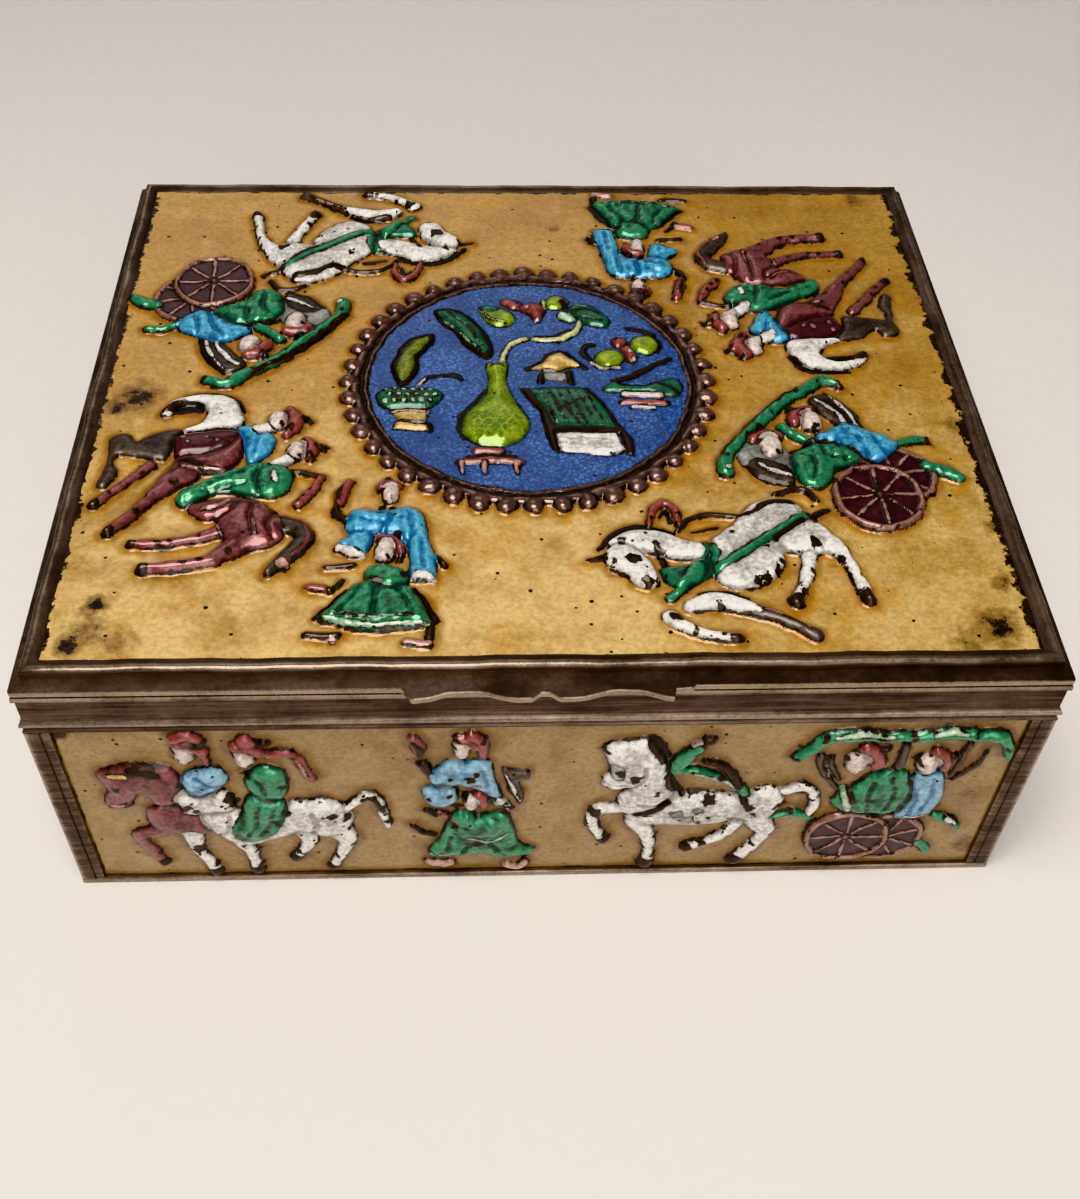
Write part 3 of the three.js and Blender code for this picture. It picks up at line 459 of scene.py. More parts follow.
def front_horse():
    return [
        bar([(28.4, 18.2, 0.7), (30.4, 18.8, 0.85), (31.9, 17.4, 0.85), (32.3, 15.0, 0.75),
            (31.9, 13.0, 0.5)], 0.9, "white"),
        stripe([(29.2, 17.8, 0.3), (30.6, 17.4, 0.4)]),
        mark(31.6, 16.4, 0.3),
        *limb([(9.2, 15.0, 1.1), (6.8, 14.6, 1.1), (5.7, 12.4, 0.8), (6.6, 9.8, 0.75), (7.5, 8.0, 0.9)],
            0.85, "white"),
        mark(6.1, 14.3, 0.9),
        *limb([(23.2, 11.2, 1.2), (22.2, 9.0, 1.0), (20.0, 7.4, 0.8), (17.8, 6.0, 0.9)], 0.85, "white"),
        *limb([(11.4, 12.4, 1.7), (12.6, 9.2, 1.1), (13.1, 6.2, 0.8), (13.0, 2.7, 1.1)], 1.0, "white"),
        *limb([(26.0, 11.8, 1.9), (27.3, 9.4, 1.15), (26.2, 6.6, 0.85), (24.2, 3.1, 1.0)], 1.0, "white"),
        blob([(9.6, 14.4), (12.0, 16.2), (16.4, 18.2), (20.0, 18.0), (23.0, 17.6), (25.0, 18.9),
            (27.0, 19.0), (28.4, 17.2), (28.4, 15.0), (27.4, 12.0), (25.4, 10.9), (23.4, 12.2),
            (20.0, 11.2), (16.0, 10.9), (12.0, 11.6), (10.0, 12.4)], 1.4, "white", 2.8),
        *marks([(15.8, 14.6, 0.9), (17.2, 13.4, 1.0), (18.4, 15.2, 0.8)], "grey"),
        blob([(6.3, 27.4), (8.4, 28.4), (11.2, 28.7), (12.6, 26.8), (13.8, 24.6), (14.4, 21.8),
            (15.2, 18.4), (14.0, 15.6), (11.4, 14.0), (9.4, 14.0), (8.5, 15.8), (8.9, 17.6), (9.8, 19.0),
            (8.2, 18.9), (6.9, 19.4), (6.6, 21.0), (7.2, 22.8), (6.8, 25.0)], 1.45, "white", 2.4),
        stripe([(8.0, 24.0, 0.9), (8.2, 22.6, 0.8)], "grey", 0.1),
        *marks([(8.5, 23.2, 0.55), (10.4, 22.2, 0.7), (6.5, 26.9, 0.5), (13.2, 19.2, 0.25),
            (7.4, 19.7, 0.3)]),
        *crease((6.9, 20.6), (8.2, 20.3), (9.2, 20.6)),
        *crease((9.8, 19.2), (11.2, 21.4), (11.4, 24.0)),
        stripe([(10.8, 14.3, 0.25), (12.8, 15.2, 0.4), (14.6, 16.6, 0.35)]),
        stripe([(11.7, 28.6, 0.6), (12.7, 27.0, 0.9), (13.7, 25.0, 0.6)], rise=0.2),
        stripe([(14.2, 21.6, 0.45), (15.0, 19.6, 0.6), (15.9, 18.0, 0.4)], rise=0.2),
        *marks([(19.5, 17.0, 0.9), (28.0, 15.2, 0.8), (24.3, 15.8, 0.5), (25.2, 14.4, 0.4),
            (19.8, 13.6, 0.35), (18.6, 12.6, 0.3), (22.6, 13.4, 0.4)]),
        *crease((11.0, 16.6), (12.8, 16.2), (14.2, 16.8)),
        bar([(15.0, 22.8, 0.9), (15.8, 24.8, 1.3), (17.0, 26.6, 1.0), (17.8, 27.8, 0.6)], 1.1, "green"),
        dome(18.4, 28.2, 1.0, 0.9, "black"),
        stripe([(16.4, 27.4, 0.25), (17.4, 28.2, 0.3)], "flesh"),
        bar([(15.6, 22.7, 0.6), (18.0, 22.3, 0.75), (20.6, 21.0, 0.7), (22.6, 19.3, 0.8),
            (23.6, 17.8, 0.6)], 1.0, "green"),
        stripe([(17.0, 22.4, 0.2), (19.8, 21.5, 0.25), (22.0, 19.8, 0.2)], "mint"),
        bar([(18.4, 24.3, 0.5), (20.3, 23.2, 0.6), (21.8, 21.2, 0.6), (22.8, 19.6, 0.4)], 0.9, "black"),
        stripe([(23.4, 17.4, 0.3), (24.4, 15.6, 0.35)]),
        bar([(27.6, 12.8, 0.5), (29.8, 13.3, 0.7), (32.2, 12.4, 0.6)], 0.9, "green"),
        mark(29.6, 13.6, 0.4),
    ]


def front_cart():
    return [
        *wheel(42.1, 7.8, 5.0, 0.75, 22),
        bar([(47.6, 12.3, 0.7), (49.4, 11.2, 0.8), (51.0, 9.7, 0.5)], 0.9, "green"),
        stripe([(48.6, 12.2, 0.3), (50.4, 10.8, 0.3)], "white"),
        bar([(46.8, 6.6, 0.7), (48.2, 4.5, 0.7)], 0.8, "green"),
        stripe([(31.6, 24.8, 0.5), (32.0, 22.0, 0.4), (34.4, 18.4, 0.35)], "bare", 0.6),
        stripe([(32.9, 24.4, 0.3), (33.4, 22.0, 0.4), (34.6, 19.8, 0.25)], "bare", 0.5),
        stripe([(32.4, 23.8, 0.15), (33.0, 20.8, 0.2)], "white"),
        stripe([(48.4, 26.6, 0.35), (48.0, 23.8, 0.4), (47.6, 20.8, 0.35)], "bare", 0.6),
        stripe([(50.6, 25.4, 0.25), (50.0, 22.4, 0.35), (48.0, 20.0, 0.35)], "bare", 0.6),
        blob([(43.4, 22.0), (46.4, 21.3), (47.5, 18.2), (47.7, 14.6), (46.4, 12.5), (43.4, 11.9),
            (42.2, 13.4), (43.0, 17.2)], 1.2, "sky", 1.8),
        *crease((45.2, 20.6), (45.8, 18.0), (45.4, 14.6)),
        *crease((43.8, 17.6), (44.2, 15.6), (44.0, 13.2)),
        stripe([(43.6, 12.6, 0.25), (45.2, 13.0, 0.35), (46.8, 13.4, 0.25)], "white"),
        *head(44.2, 23.4, 1.9, 25),
        *marks([(43.3, 23.8, 0.35), (43.4, 22.4, 0.3)]),
        blob([(36.2, 19.0), (38.2, 21.2), (40.2, 22.1), (42.4, 21.6), (43.4, 18.0), (43.2, 14.6),
            (41.4, 12.8), (38.0, 13.2), (35.6, 13.5), (34.3, 15.4), (35.0, 18.2)], 1.3, "green", 2.2),
        stripe([(35.2, 18.4, 0.4), (35.8, 16.6, 0.6), (36.2, 14.6, 0.4)], "mint", 0.1),
        stripe([(35.8, 18.6, 0.3), (36.6, 16.6, 0.35)]),
        *crease((38.6, 20.0), (38.2, 17.2), (38.8, 14.2)),
        *crease((40.6, 20.8), (41.2, 17.8), (40.6, 14.6)),
        *head(35.9, 23.9, 2.1, 35),
        bar([(38.0, 25.4, 0.6), (38.8, 23.6, 0.5)], 1.0, "red"),
        bar([(41.0, 26.8, 0.6), (41.0, 22.6, 0.65)], 0.9, "bare"),
        bar([(28.8, 24.8, 0.8), (30.2, 26.6, 0.9), (31.6, 28.5, 1.0), (35.0, 29.0, 1.0), (38.4, 28.8, 0.9),
            (42.0, 28.5, 0.95), (45.0, 29.1, 1.1), (48.4, 28.8, 1.0), (51.4, 28.4, 1.0), (52.5, 26.9, 0.75),
            (53.0, 24.6, 0.5)], 1.2, "green"),
        # Pale mint streaks along the top of the canopy: painted highlights
        stripe([(32.4, 29.2, 0.2), (35.6, 29.6, 0.3), (39.0, 29.1, 0.2)], "mint", 0.05),
        stripe([(43.6, 29.4, 0.25), (45.6, 29.8, 0.35), (47.4, 29.4, 0.2)], "mint", 0.05),
        *marks([(28.7, 24.6, 0.6), (31.4, 28.8, 0.4), (35.6, 28.4, 0.3), (38.4, 28.6, 0.35),
            (41.2, 28.8, 0.5), (45.4, 28.4, 0.4), (48.6, 29.4, 0.35), (52.4, 26.4, 0.3)]),
        *wheel(37.4, 8.2, 5.4, 1.05, 0),
    ]


def front_riders():
    return [
        *limb([(-45.4, 11.6, 1.4), (-48.0, 10.6, 1.1), (-47.6, 8.0, 0.85), (-46.2, 4.7, 0.8)],
            0.85, "maroon"),
        blob([(-46.2, 16.4), (-43.0, 16.4), (-40.0, 15.0), (-39.4, 11.6), (-41.0, 10.4), (-43.6, 10.6),
            (-45.9, 11.6), (-46.6, 13.6)], 1.0, "maroon", 2.0),
        *limb([(-42.0, 10.8, 1.4), (-41.8, 7.8, 1.0), (-40.9, 5.0, 0.85), (-40.2, 2.3, 0.9)], 0.9, "white"),
        mark(-41.6, 8.0, 0.8),
        blob([(-50.7, 23.2), (-49.0, 24.6), (-46.4, 25.2), (-44.0, 24.9), (-42.0, 23.8), (-41.6, 20.4),
            (-42.4, 17.4), (-45.0, 17.0), (-46.3, 19.2), (-47.6, 18.0), (-48.2, 16.6), (-50.4, 16.4),
            (-51.0, 17.6), (-50.4, 20.0)], 1.2, "maroon", 2.2),
        *marks([(-48.8, 21.2, 0.6), (-50.4, 17.2, 0.4), (-48.4, 17.4, 0.4)]),
        stripe([(-50.0, 17.8, 0.2), (-48.6, 18.0, 0.25)], "pink"),
        stripe([(-46.8, 24.0, 0.5), (-45.2, 24.4, 0.8), (-44.2, 23.6, 0.5)], rise=0.2),
        stripe([(-49.4, 23.6, 0.25), (-47.4, 23.6, 0.35)], "gold"),
        bar([(-23.2, 15.8, 0.7), (-21.6, 17.3, 0.75), (-20.4, 18.2, 0.85), (-19.4, 17.2, 0.8),
            (-19.2, 15.2, 0.6), (-18.6, 12.2, 0.5)], 0.85, "white"),
        stripe([(-21.0, 17.8, 0.4), (-19.8, 17.8, 0.5), (-19.2, 16.0, 0.35)]),
        mark(-18.7, 13.4, 0.3),
        *limb([(-28.4, 10.8, 1.4), (-28.2, 8.8, 1.0), (-29.2, 6.8, 0.75), (-30.2, 5.1, 0.85)],
            0.85, "white"),
        *limb([(-24.2, 10.8, 1.7), (-23.7, 8.6, 1.15), (-24.6, 5.6, 0.85), (-25.6, 3.1, 0.85)],
            1.0, "white"),
        *limb([(-36.4, 9.6, 1.5), (-35.4, 7.2, 1.0), (-35.3, 4.8, 0.8), (-35.2, 2.6, 0.9)], 1.0, "white"),
        blob([(-40.4, 15.4), (-39.6, 11.6), (-38.2, 9.4), (-36.0, 8.0), (-34.0, 8.6), (-31.0, 9.8),
            (-28.4, 10.6), (-26.6, 9.9), (-24.6, 10.0), (-23.0, 11.8), (-22.5, 14.0), (-23.5, 16.2),
            (-25.0, 17.5), (-27.4, 17.9), (-29.4, 17.6), (-31.4, 16.0), (-35.0, 15.8), (-38.0, 16.0)],
            1.4, "white", 2.8),
        blob([(-43.0, 18.2), (-42.0, 20.0), (-40.8, 20.6), (-39.0, 19.4), (-37.2, 20.2), (-36.0, 18.4),
            (-36.2, 16.0), (-39.0, 15.2), (-42.0, 15.4)], 1.3, "white", 1.8),
        *marks([(-42.2, 16.6, 0.7), (-41.2, 17.4, 0.6), (-40.4, 16.6, 0.5), (-36.5, 18.6, 0.8),
            (-36.0, 17.2, 0.8), (-30.4, 15.6, 0.7), (-24.9, 15.0, 0.6), (-23.3, 14.4, 0.6),
            (-35.9, 8.8, 0.4), (-31.4, 13.6, 0.7)]),
        *crease((-27.6, 11.0), (-26.8, 13.2), (-27.2, 15.6)),
        *crease((-38.8, 10.6), (-37.4, 12.6), (-37.0, 14.8)),
        blob([(-42.0, 21.4), (-41.2, 23.2), (-39.4, 24.2), (-37.2, 24.8), (-36.1, 22.6), (-36.9, 20.4),
            (-39.4, 19.0), (-41.0, 20.0)], 1.3, "sky", 1.8),
        *crease((-39.8, 22.8), (-38.2, 21.6), (-36.6, 21.0)),
        mark(-41.6, 21.4, 0.6),
        *head(-40.4, 27.2, 1.8, 55),
        bar([(-41.0, 30.0, 0.6), (-39.6, 30.6, 0.7), (-38.4, 30.0, 0.6)], 1.1, "red"),
        dome(-38.3, 29.2, 0.75, 0.9, "black"),
        bar([(-38.5, 27.6, 0.5), (-38.1, 25.6, 0.5)], 1.0, "red"),
        blob([(-34.4, 18.6), (-32.0, 18.2), (-30.3, 17.6), (-30.3, 15.0), (-31.4, 12.8), (-33.0, 10.6),
            (-35.0, 10.0), (-36.8, 11.2), (-36.6, 13.6), (-35.4, 15.9)], 1.7, "green", 2.2),
        blob([(-32.8, 24.6), (-30.2, 24.0), (-29.4, 21.4), (-30.2, 18.6), (-32.0, 18.2), (-34.2, 19.4),
            (-34.4, 21.6), (-33.6, 23.6)], 1.5, "green", 1.9),
        stripe([(-34.2, 19.2, 0.2), (-32.0, 18.3, 0.25), (-30.2, 18.9, 0.2)], "mint"),
        *crease((-33.4, 17.2), (-33.8, 14.4), (-35.0, 11.6)),
        *crease((-31.6, 16.8), (-32.4, 14.0), (-33.6, 11.6)),
        *crease((-33.8, 23.0), (-32.4, 21.8), (-32.2, 19.8)),
        *marks([(-34.2, 22.8, 0.6), (-34.0, 20.2, 0.5), (-30.0, 20.8, 0.4), (-31.6, 14.2, 0.5)]),
        *head(-33.9, 26.4, 1.8, 65),
        dome(-33.4, 29.2, 1.1, 1.1, "red"),
        dome(-31.3, 28.8, 0.7, 0.8, "black"),
        bar([(-31.2, 26.6, 0.6), (-29.4, 26.9, 0.7), (-28.2, 26.2, 0.7), (-27.6, 24.2, 0.75),
            (-26.8, 21.9, 0.6)], 0.85, "red"),
        mark(-28.6, 26.4, 0.4),
        stripe([(-27.9, 25.2, 0.2), (-27.2, 22.8, 0.25)], "pink"),
    ]


def front_walkers():
    return [
        bar([(-14.9, 29.4, 0.7), (-14.4, 27.6, 0.9), (-14.5, 26.2, 0.5)], 0.8, "red"),
        stripe([(-14.9, 29.0, 0.35), (-14.2, 27.4, 0.4), (-14.4, 26.2, 0.25)]),
        bar([(-14.2, 24.4, 0.7), (-13.4, 22.6, 0.8)], 0.8, "black"),
        bar([(-13.9, 14.8, 0.5), (-12.9, 13.8, 0.5)], 0.6, "black"),
        bar([(-12.6, 14.4, 0.4), (-11.6, 13.8, 0.6)], 0.6, "red"),
        bar([(-15.6, 11.6, 0.4), (-14.6, 10.4, 0.4), (-13.2, 9.4, 0.35)], 0.6, "black"),
        bar([(-14.0, 3.6, 0.6), (-12.8, 3.0, 0.8), (-11.2, 3.2, 0.7)], 0.7, "pink"),
        bar([(-4.2, 2.6, 0.6), (-3.0, 2.2, 0.7), (-2.2, 3.2, 0.6)], 0.7, "pink"),
        *marks([(-12.6, 2.6, 0.4), (-2.4, 4.0, 0.5)]),
        blob([(-5.0, 23.4), (-3.4, 22.8), (-1.8, 22.4), (-2.0, 20.8), (-3.0, 20.4), (-2.4, 18.0),
            (-2.8, 15.8), (-4.0, 17.8), (-4.6, 20.6)], 0.7, "bare", 1.0),
        stripe([(-4.6, 22.2, 0.2), (-3.9, 20.0, 0.25), (-3.0, 17.0, 0.2)], "white"),
        blob([(-13.6, 21.6), (-12.2, 24.3), (-10.0, 25.2), (-6.4, 25.0), (-5.9, 22.0), (-5.1, 19.0),
            (-4.6, 16.0), (-6.0, 15.8), (-7.4, 18.6), (-9.6, 20.2), (-12.4, 20.2)], 1.15, "sky", 1.8),
        blob([(-13.9, 19.8), (-10.6, 20.2), (-10.2, 17.2), (-12.0, 15.6), (-14.1, 16.8)], 1.2, "sky", 1.6),
        stripe([(-12.8, 20.4, 0.2), (-10.2, 20.2, 0.25), (-7.6, 20.8, 0.2)], "grey", 0.0),
        stripe([(-5.4, 17.6, 0.4), (-4.2, 15.0, 0.5)], "white"),
        *marks([(-8.6, 22.2, 0.7), (-8.0, 23.2, 0.4), (-11.0, 22.0, 0.3), (-13.5, 18.3, 0.3),
            (-11.0, 18.7, 0.3), (-4.6, 15.8, 0.35), (-4.0, 15.0, 0.4)]),
        *crease((-7.4, 23.6), (-6.8, 21.4), (-6.4, 19.0)),
        *head(-9.5, 27.4, 1.55, 60),
        bar([(-8.6, 29.8, 0.6), (-7.4, 28.8, 0.8), (-7.1, 26.2, 0.6)], 1.1, "red"),
        *marks([(-9.9, 29.2, 0.4), (-7.3, 29.1, 0.4)]),
        blob([(-10.0, 14.8), (-7.6, 14.0), (-4.8, 14.6), (-3.8, 12.4), (-3.2, 9.4), (-2.6, 7.6),
            (-0.9, 6.0), (-2.4, 4.8), (-4.2, 4.2), (-7.4, 5.2), (-10.4, 5.0), (-13.0, 5.2), (-14.2, 6.2),
            (-12.6, 9.0), (-11.4, 12.6)], 1.3, "green", 2.2),
        blob([(-9.6, 14.6), (-7.4, 13.8), (-4.6, 13.8), (-4.4, 11.2), (-6.4, 10.0), (-9.2, 10.4)],
            1.5, "green", 1.4),
        stripe([(-9.2, 10.2, 0.2), (-6.6, 9.2, 0.25), (-4.4, 10.4, 0.2)], "mint"),
        stripe([(-13.8, 6.2, 0.2), (-10.4, 5.1, 0.22), (-7.4, 5.3, 0.2)], "mint"),
        mark(-10.6, 12.6, 0.7, "grey"),
        mark(-10.6, 12.4, 0.4),
        stripe([(-9.0, 9.0, 0.3), (-7.4, 8.6, 0.3)], "bare", 0.0),
        *crease((-11.0, 9.8), (-11.6, 7.6), (-12.4, 6.2)),
        *crease((-8.8, 8.6), (-9.6, 6.6)),
        *crease((-6.4, 8.6), (-5.2, 6.8), (-4.2, 5.4)),
        *head(-8.7, 17.0, 1.55, 20, 1.5),
        *marks([(-9.5, 18.2, 0.3), (-8.8, 15.2, 0.45), (-7.0, 15.4, 0.4), (-10.2, 15.4, 0.6)]),
    ]


# The round picture in the middle of the lid

def vase():
    forms = [
        blob([(-6.2, 4.9), (-4.8, 4.7), (-3.4, 4.9), (-3.6, 2.5), (-3.6, 0.5), (-3.1, -1.6), (-2.2, -3.6),
              (-1.2, -6.0), (-1.3, -8.5), (-2.7, -10.5), (-5.0, -11.3), (-7.6, -10.7), (-9.2, -9.0),
              (-9.5, -7.0), (-8.6, -4.6), (-7.1, -2.5), (-6.2, -0.5), (-6.0, 2.5)], 1.35, "lime", 2.6),
        *[mark(u, 4.0, 0.2) for u in (-5.4, -4.6, -4.0)],
        stripe([(-6.4, -0.6, 0.2), (-8.2, -3.6, 0.3), (-9.8, -6.6, 0.3), (-9.2, -9.6, 0.2)]),
    ]
    for row in range(4):
        for n in range(5 - row % 2):
            u = -8.0 + 1.4 * n + 0.7 * (row % 2)
            forms.append(rim(u, -6.6 - 1.0 * row, 0.7, 0.25, 0.13, None, over=True))
    feet = [
        bar([(-7.6, -11.9, 0.6), (-4.8, -12.1, 0.6)], 0.8, "red"),
        bar([(-9.6, -14.0, 0.5), (-6.0, -13.6, 0.6), (-2.4, -14.0, 0.5)], 0.75, "red"),
        *[bar([(u, -14.2, 0.4), (u + 0.2, -15.8, 0.25)], 0.7, "pink") for u in (-9.4, -6.6, -2.8)],
        stripe([(-8.8, -13.0, 0.2), (-6.0, -12.8, 0.25), (-3.0, -13.0, 0.2)]),
        mark(-5.0, -14.2, 0.35, "flesh"),
    ]
    return [*feet, *forms]


def bowl():
    return [
        blob([(-20.2, -1.6), (-19.0, -0.2), (-16.4, 0.1), (-13.4, -0.2), (-11.7, -1.6), (-12.4, -3.2),
              (-13.8, -4.1), (-18.4, -4.1), (-19.8, -3.2)], 1.05, "deep", 1.6),
        *[dome(-19.0 + 1.15 * n + 0.55 * (row % 2), -0.9 - 1.05 * row, 0.36, 0.16, "mint", over=True)
          for row in range(3) for n in range(6)],
        patch([(-18.6, -4.2), (-13.2, -4.3), (-13.8, -6.0), (-13.2, -8.1), (-18.0, -7.9), (-17.5, -6.0)],
              0.75, "gold", 0.8),
        stripe([(-18.2, -4.8, 0.22), (-13.6, -4.9, 0.22)], "flesh"),
        stripe([(-17.4, -6.7, 0.2), (-13.9, -6.9, 0.25)], "grey", 0.1),
        stripe([(-13.4, -6.9, 0.3), (-13.2, -8.2, 0.3)]),
        bar([(-15.0, 0.4, 0.3), (-14.0, 1.9, 0.3)], 0.5, "flesh"),
        bar([(-13.8, 2.1, 0.3), (-12.0, 2.4, 0.35), (-10.2, 2.3, 0.4), (-9.6, 1.6, 0.35)], 0.5, "black"),
    ]


def plants():
    return [
        blob([(-17.4, 0.2), (-18.6, 3.4), (-17.7, 7.4), (-15.9, 10.0), (-13.0, 11.0), (-13.6, 8.2),
            (-14.9, 6.0), (-14.9, 3.8), (-15.8, 1.6)], 0.6, "black", 0.6),
        blob([(-17.3, 1.0), (-17.9, 3.5), (-17.1, 6.9), (-15.6, 9.2), (-13.8, 10.3), (-14.2, 8.2),
            (-15.5, 6.0), (-15.5, 4.0), (-16.2, 2.2)], 1.0, "olive", 1.0),
        *crease((-16.9, 2.0), (-16.9, 4.6), (-15.4, 8.0), depth=0.15),
        blob([(-13.1, 15.6), (-11.4, 16.3), (-9.3, 15.6), (-7.2, 12.9), (-5.8, 9.8), (-5.4, 6.8),
            (-6.7, 5.8), (-8.8, 8.0), (-10.4, 10.9), (-12.0, 13.2)], 0.6, "black", 0.6),
        blob([(-12.4, 15.2), (-11.2, 15.7), (-9.6, 15.0), (-7.7, 12.7), (-6.4, 9.8), (-6.0, 7.4),
            (-6.7, 6.6), (-8.4, 8.4), (-10.0, 11.1), (-11.5, 13.2)], 1.0, "deep", 1.0),
        stripe([(-11.8, 13.6, 0.12), (-9.4, 10.4, 0.16), (-7.0, 7.0, 0.12)], "mint"),
        stripe([(-11.2, 15.0, 0.1), (-8.8, 12.0, 0.12), (-6.8, 8.0, 0.1)], "mint"),
        bar([(-4.2, 5.0, 0.4), (-3.8, 7.0, 0.42), (-2.5, 9.0, 0.45), (-1.0, 9.8, 0.4)], 0.7, "pale"),
        bar([(0.0, 9.7, 0.4), (3.0, 9.7, 0.5), (5.0, 10.5, 0.5), (6.2, 12.2, 0.45), (6.3, 13.6, 0.35)],
            0.7, "pale"),
        stripe([(0.2, 10.3, 0.15), (3.0, 10.5, 0.2), (5.0, 11.6, 0.2)]),
        blob([(-7.4, 16.4), (-5.6, 17.2), (-3.8, 16.4), (-2.2, 14.6), (-2.9, 12.6), (-4.8, 12.3),
            (-6.4, 14.0)], 0.8, "lime", 1.0),
        blob([(-7.2, 16.3), (-5.6, 17.0), (-4.2, 16.2), (-5.4, 15.2)], 0.9, "deep", 0.7),
        stripe([(-6.8, 15.6, 0.15), (-5.4, 13.8, 0.22), (-3.4, 12.8, 0.15)], "pale"),
        bar([(-3.4, 17.6, 0.9), (-2.3, 17.1, 1.1)], 0.95, "red"),
        blob([(-1.9, 16.2), (-0.6, 17.5), (1.0, 17.2), (1.7, 15.8), (0.7, 13.6), (-0.6, 14.8)],
            1.0, "red", 1.2),
        *marks([(-2.0, 17.6, 0.35), (-0.6, 16.0, 0.4)], "pink"),
        mark(0.4, 13.9, 0.4, "flesh"),
        blob([(1.6, 16.8), (2.2, 18.7), (3.9, 19.2), (5.2, 18.0), (4.2, 16.4), (2.7, 16.0)],
            0.9, "lime", 1.1),
        bar([(1.6, 16.2, 0.25), (1.6, 17.8, 0.3)], 0.7, "pale"),
        bar([(4.2, 17.6, 0.5), (4.6, 16.6, 0.4)], 0.5, "black"),
        blob([(4.6, 15.4), (5.8, 17.3), (7.8, 17.2), (9.2, 15.6), (10.4, 13.6), (9.6, 12.2), (7.4, 12.6),
            (5.9, 13.9)], 0.9, "deep", 1.1),
        bar([(4.2, 14.8, 0.9), (5.2, 13.8, 0.7)], 0.85, "mint"),
        stripe([(5.4, 15.4, 0.18), (7.2, 15.7, 0.25), (8.8, 14.8, 0.18)]),
        stripe([(5.8, 16.5, 0.12), (7.6, 16.6, 0.16)], "mint"),
        stripe([(6.6, 14.2, 0.12), (9.2, 13.2, 0.15)], "mint"),
        dome(11.2, 9.1, 1.1, 0.95, "red"),
        bar([(12.2, 7.4, 0.9), (12.9, 5.6, 0.9)], 0.95, "red"),
        mark(10.9, 9.5, 0.35, "pink"),
        *marks([(12.6, 6.6, 0.4), (13.1, 5.2, 0.4)], "flesh"),
        blob([(7.9, 5.4), (8.9, 7.4), (10.8, 7.5), (11.8, 5.7), (10.8, 4.0), (8.9, 3.9)], 0.9, "lime", 1.1),
        bar([(7.4, 5.0, 0.25), (8.8, 3.7, 0.3), (11.2, 3.8, 0.25)], 0.6, "flesh"),
        blob([(12.6, 8.6), (13.8, 10.3), (15.9, 10.2), (16.6, 8.3), (15.3, 6.4), (13.4, 6.9)],
            0.9, "lime", 1.1),
        stripe([(15.0, 10.4, 0.2), (16.6, 9.0, 0.25), (16.2, 7.0, 0.2)]),
        bar([(7.8, 8.6, 0.35), (6.9, 8.2, 0.4), (6.5, 6.9, 0.4), (7.4, 5.6, 0.35)], 0.5, "black"),
        bar([(12.6, 12.2, 0.3), (14.6, 11.6, 0.35), (16.0, 10.4, 0.3)], 0.5, "black"),
        bar([(10.8, 1.3, 0.4), (13.0, 2.5, 0.45), (15.6, 4.4, 0.4), (17.7, 5.6, 0.4)], 0.6, "black"),
    ]


def desk():
    cover = [(-0.9, -0.6), (6.2, -0.4), (8.3, -4.0), (9.9, -8.1), (2.6, -7.9), (1.1, -4.4)]
    board = [(-2.2, -0.3), (6.7, 0.0), (9.0, -3.9), (11.7, -10.0), (11.9, -13.2), (10.9, -12.6), (10.2, -8.9),
             (2.4, -8.8), (2.6, -12.4), (1.6, -11.4), (0.4, -4.8)]
    pages = [(2.0, -8.6), (9.8, -8.7), (10.8, -12.2), (8.4, -13.1), (5.6, -12.4), (2.8, -12.2)]
    leaves = []
    for n in range(3):
        drop = 0.8 * n
        leaves += crease((2.6, -9.9 - drop), (6.0, -10.0 - drop), (9.8, -10.1 - drop), width=0.2, depth=0.1)
    return [
        patch(pages, 0.75, "white", 0.6),
        *leaves,
        patch(board, 0.7, "black", 0.4),
        patch(cover, 0.95, "deep", 0.6),
        *[stripe([(0.6 + 1.1 * n, -1.0, 0.07), (2.7 + 1.1 * n, -7.4, 0.1)], "mint", 0.04) for n in range(6)],
        stripe([(3.2, -4.6, 0.07), (6.6, -2.0, 0.1)], "mint", 0.04),
        mark(5.0, -4.6, 0.3),
        bar([(1.8, 2.4, 0.9), (3.6, 2.0, 1.0)], 0.5, "grey"),
        blob([(-1.0, 3.6), (0.6, 4.6), (1.8, 6.2), (3.4, 6.9), (4.9, 5.7), (6.4, 4.2), (4.2, 3.9), (2.8, 3.3),
              (1.0, 3.6)], 0.9, "gold", 1.2),
        stripe([(1.0, 3.4, 0.3), (2.4, 3.2, 0.35)], "white"),
        stripe([(-1.1, 3.7, 0.3), (0.5, 4.7, 0.22), (1.7, 6.4, 0.25), (3.4, 7.1, 0.25), (5.0, 5.9, 0.25),
                (6.5, 3.8, 0.35)]),
        bar([(0.9, 2.5, 0.35), (0.8, 0.9, 0.35)], 0.7, "black"),
        bar([(4.3, 3.0, 0.4), (4.5, 0.9, 0.4)], 0.7, "black"),
        blob([(8.8, -0.6), (10.0, 1.2), (11.6, 0.6), (13.8, 0.4), (15.8, 1.2), (18.2, 1.6), (18.8, -0.4),
              (17.6, -2.0), (14.0, -1.2), (10.2, -1.2)], 0.85, "deep", 1.2),
        bar([(11.2, -1.6, 0.45), (15.8, -1.8, 0.5)], 0.8, "flesh"),
        bar([(11.0, -3.0, 0.5), (16.4, -3.2, 0.55)], 0.75, "red"),
        bar([(12.2, -3.9, 0.3), (14.8, -4.0, 0.3)], 0.7, "white"),
        stripe([(9.8, 1.2, 0.2), (12.0, 0.0, 0.25), (15.6, 0.2, 0.25), (18.2, -1.4, 0.25)]),
        mark(10.9, -3.0, 0.4),
        mark(16.6, -3.2, 0.4),
    ]


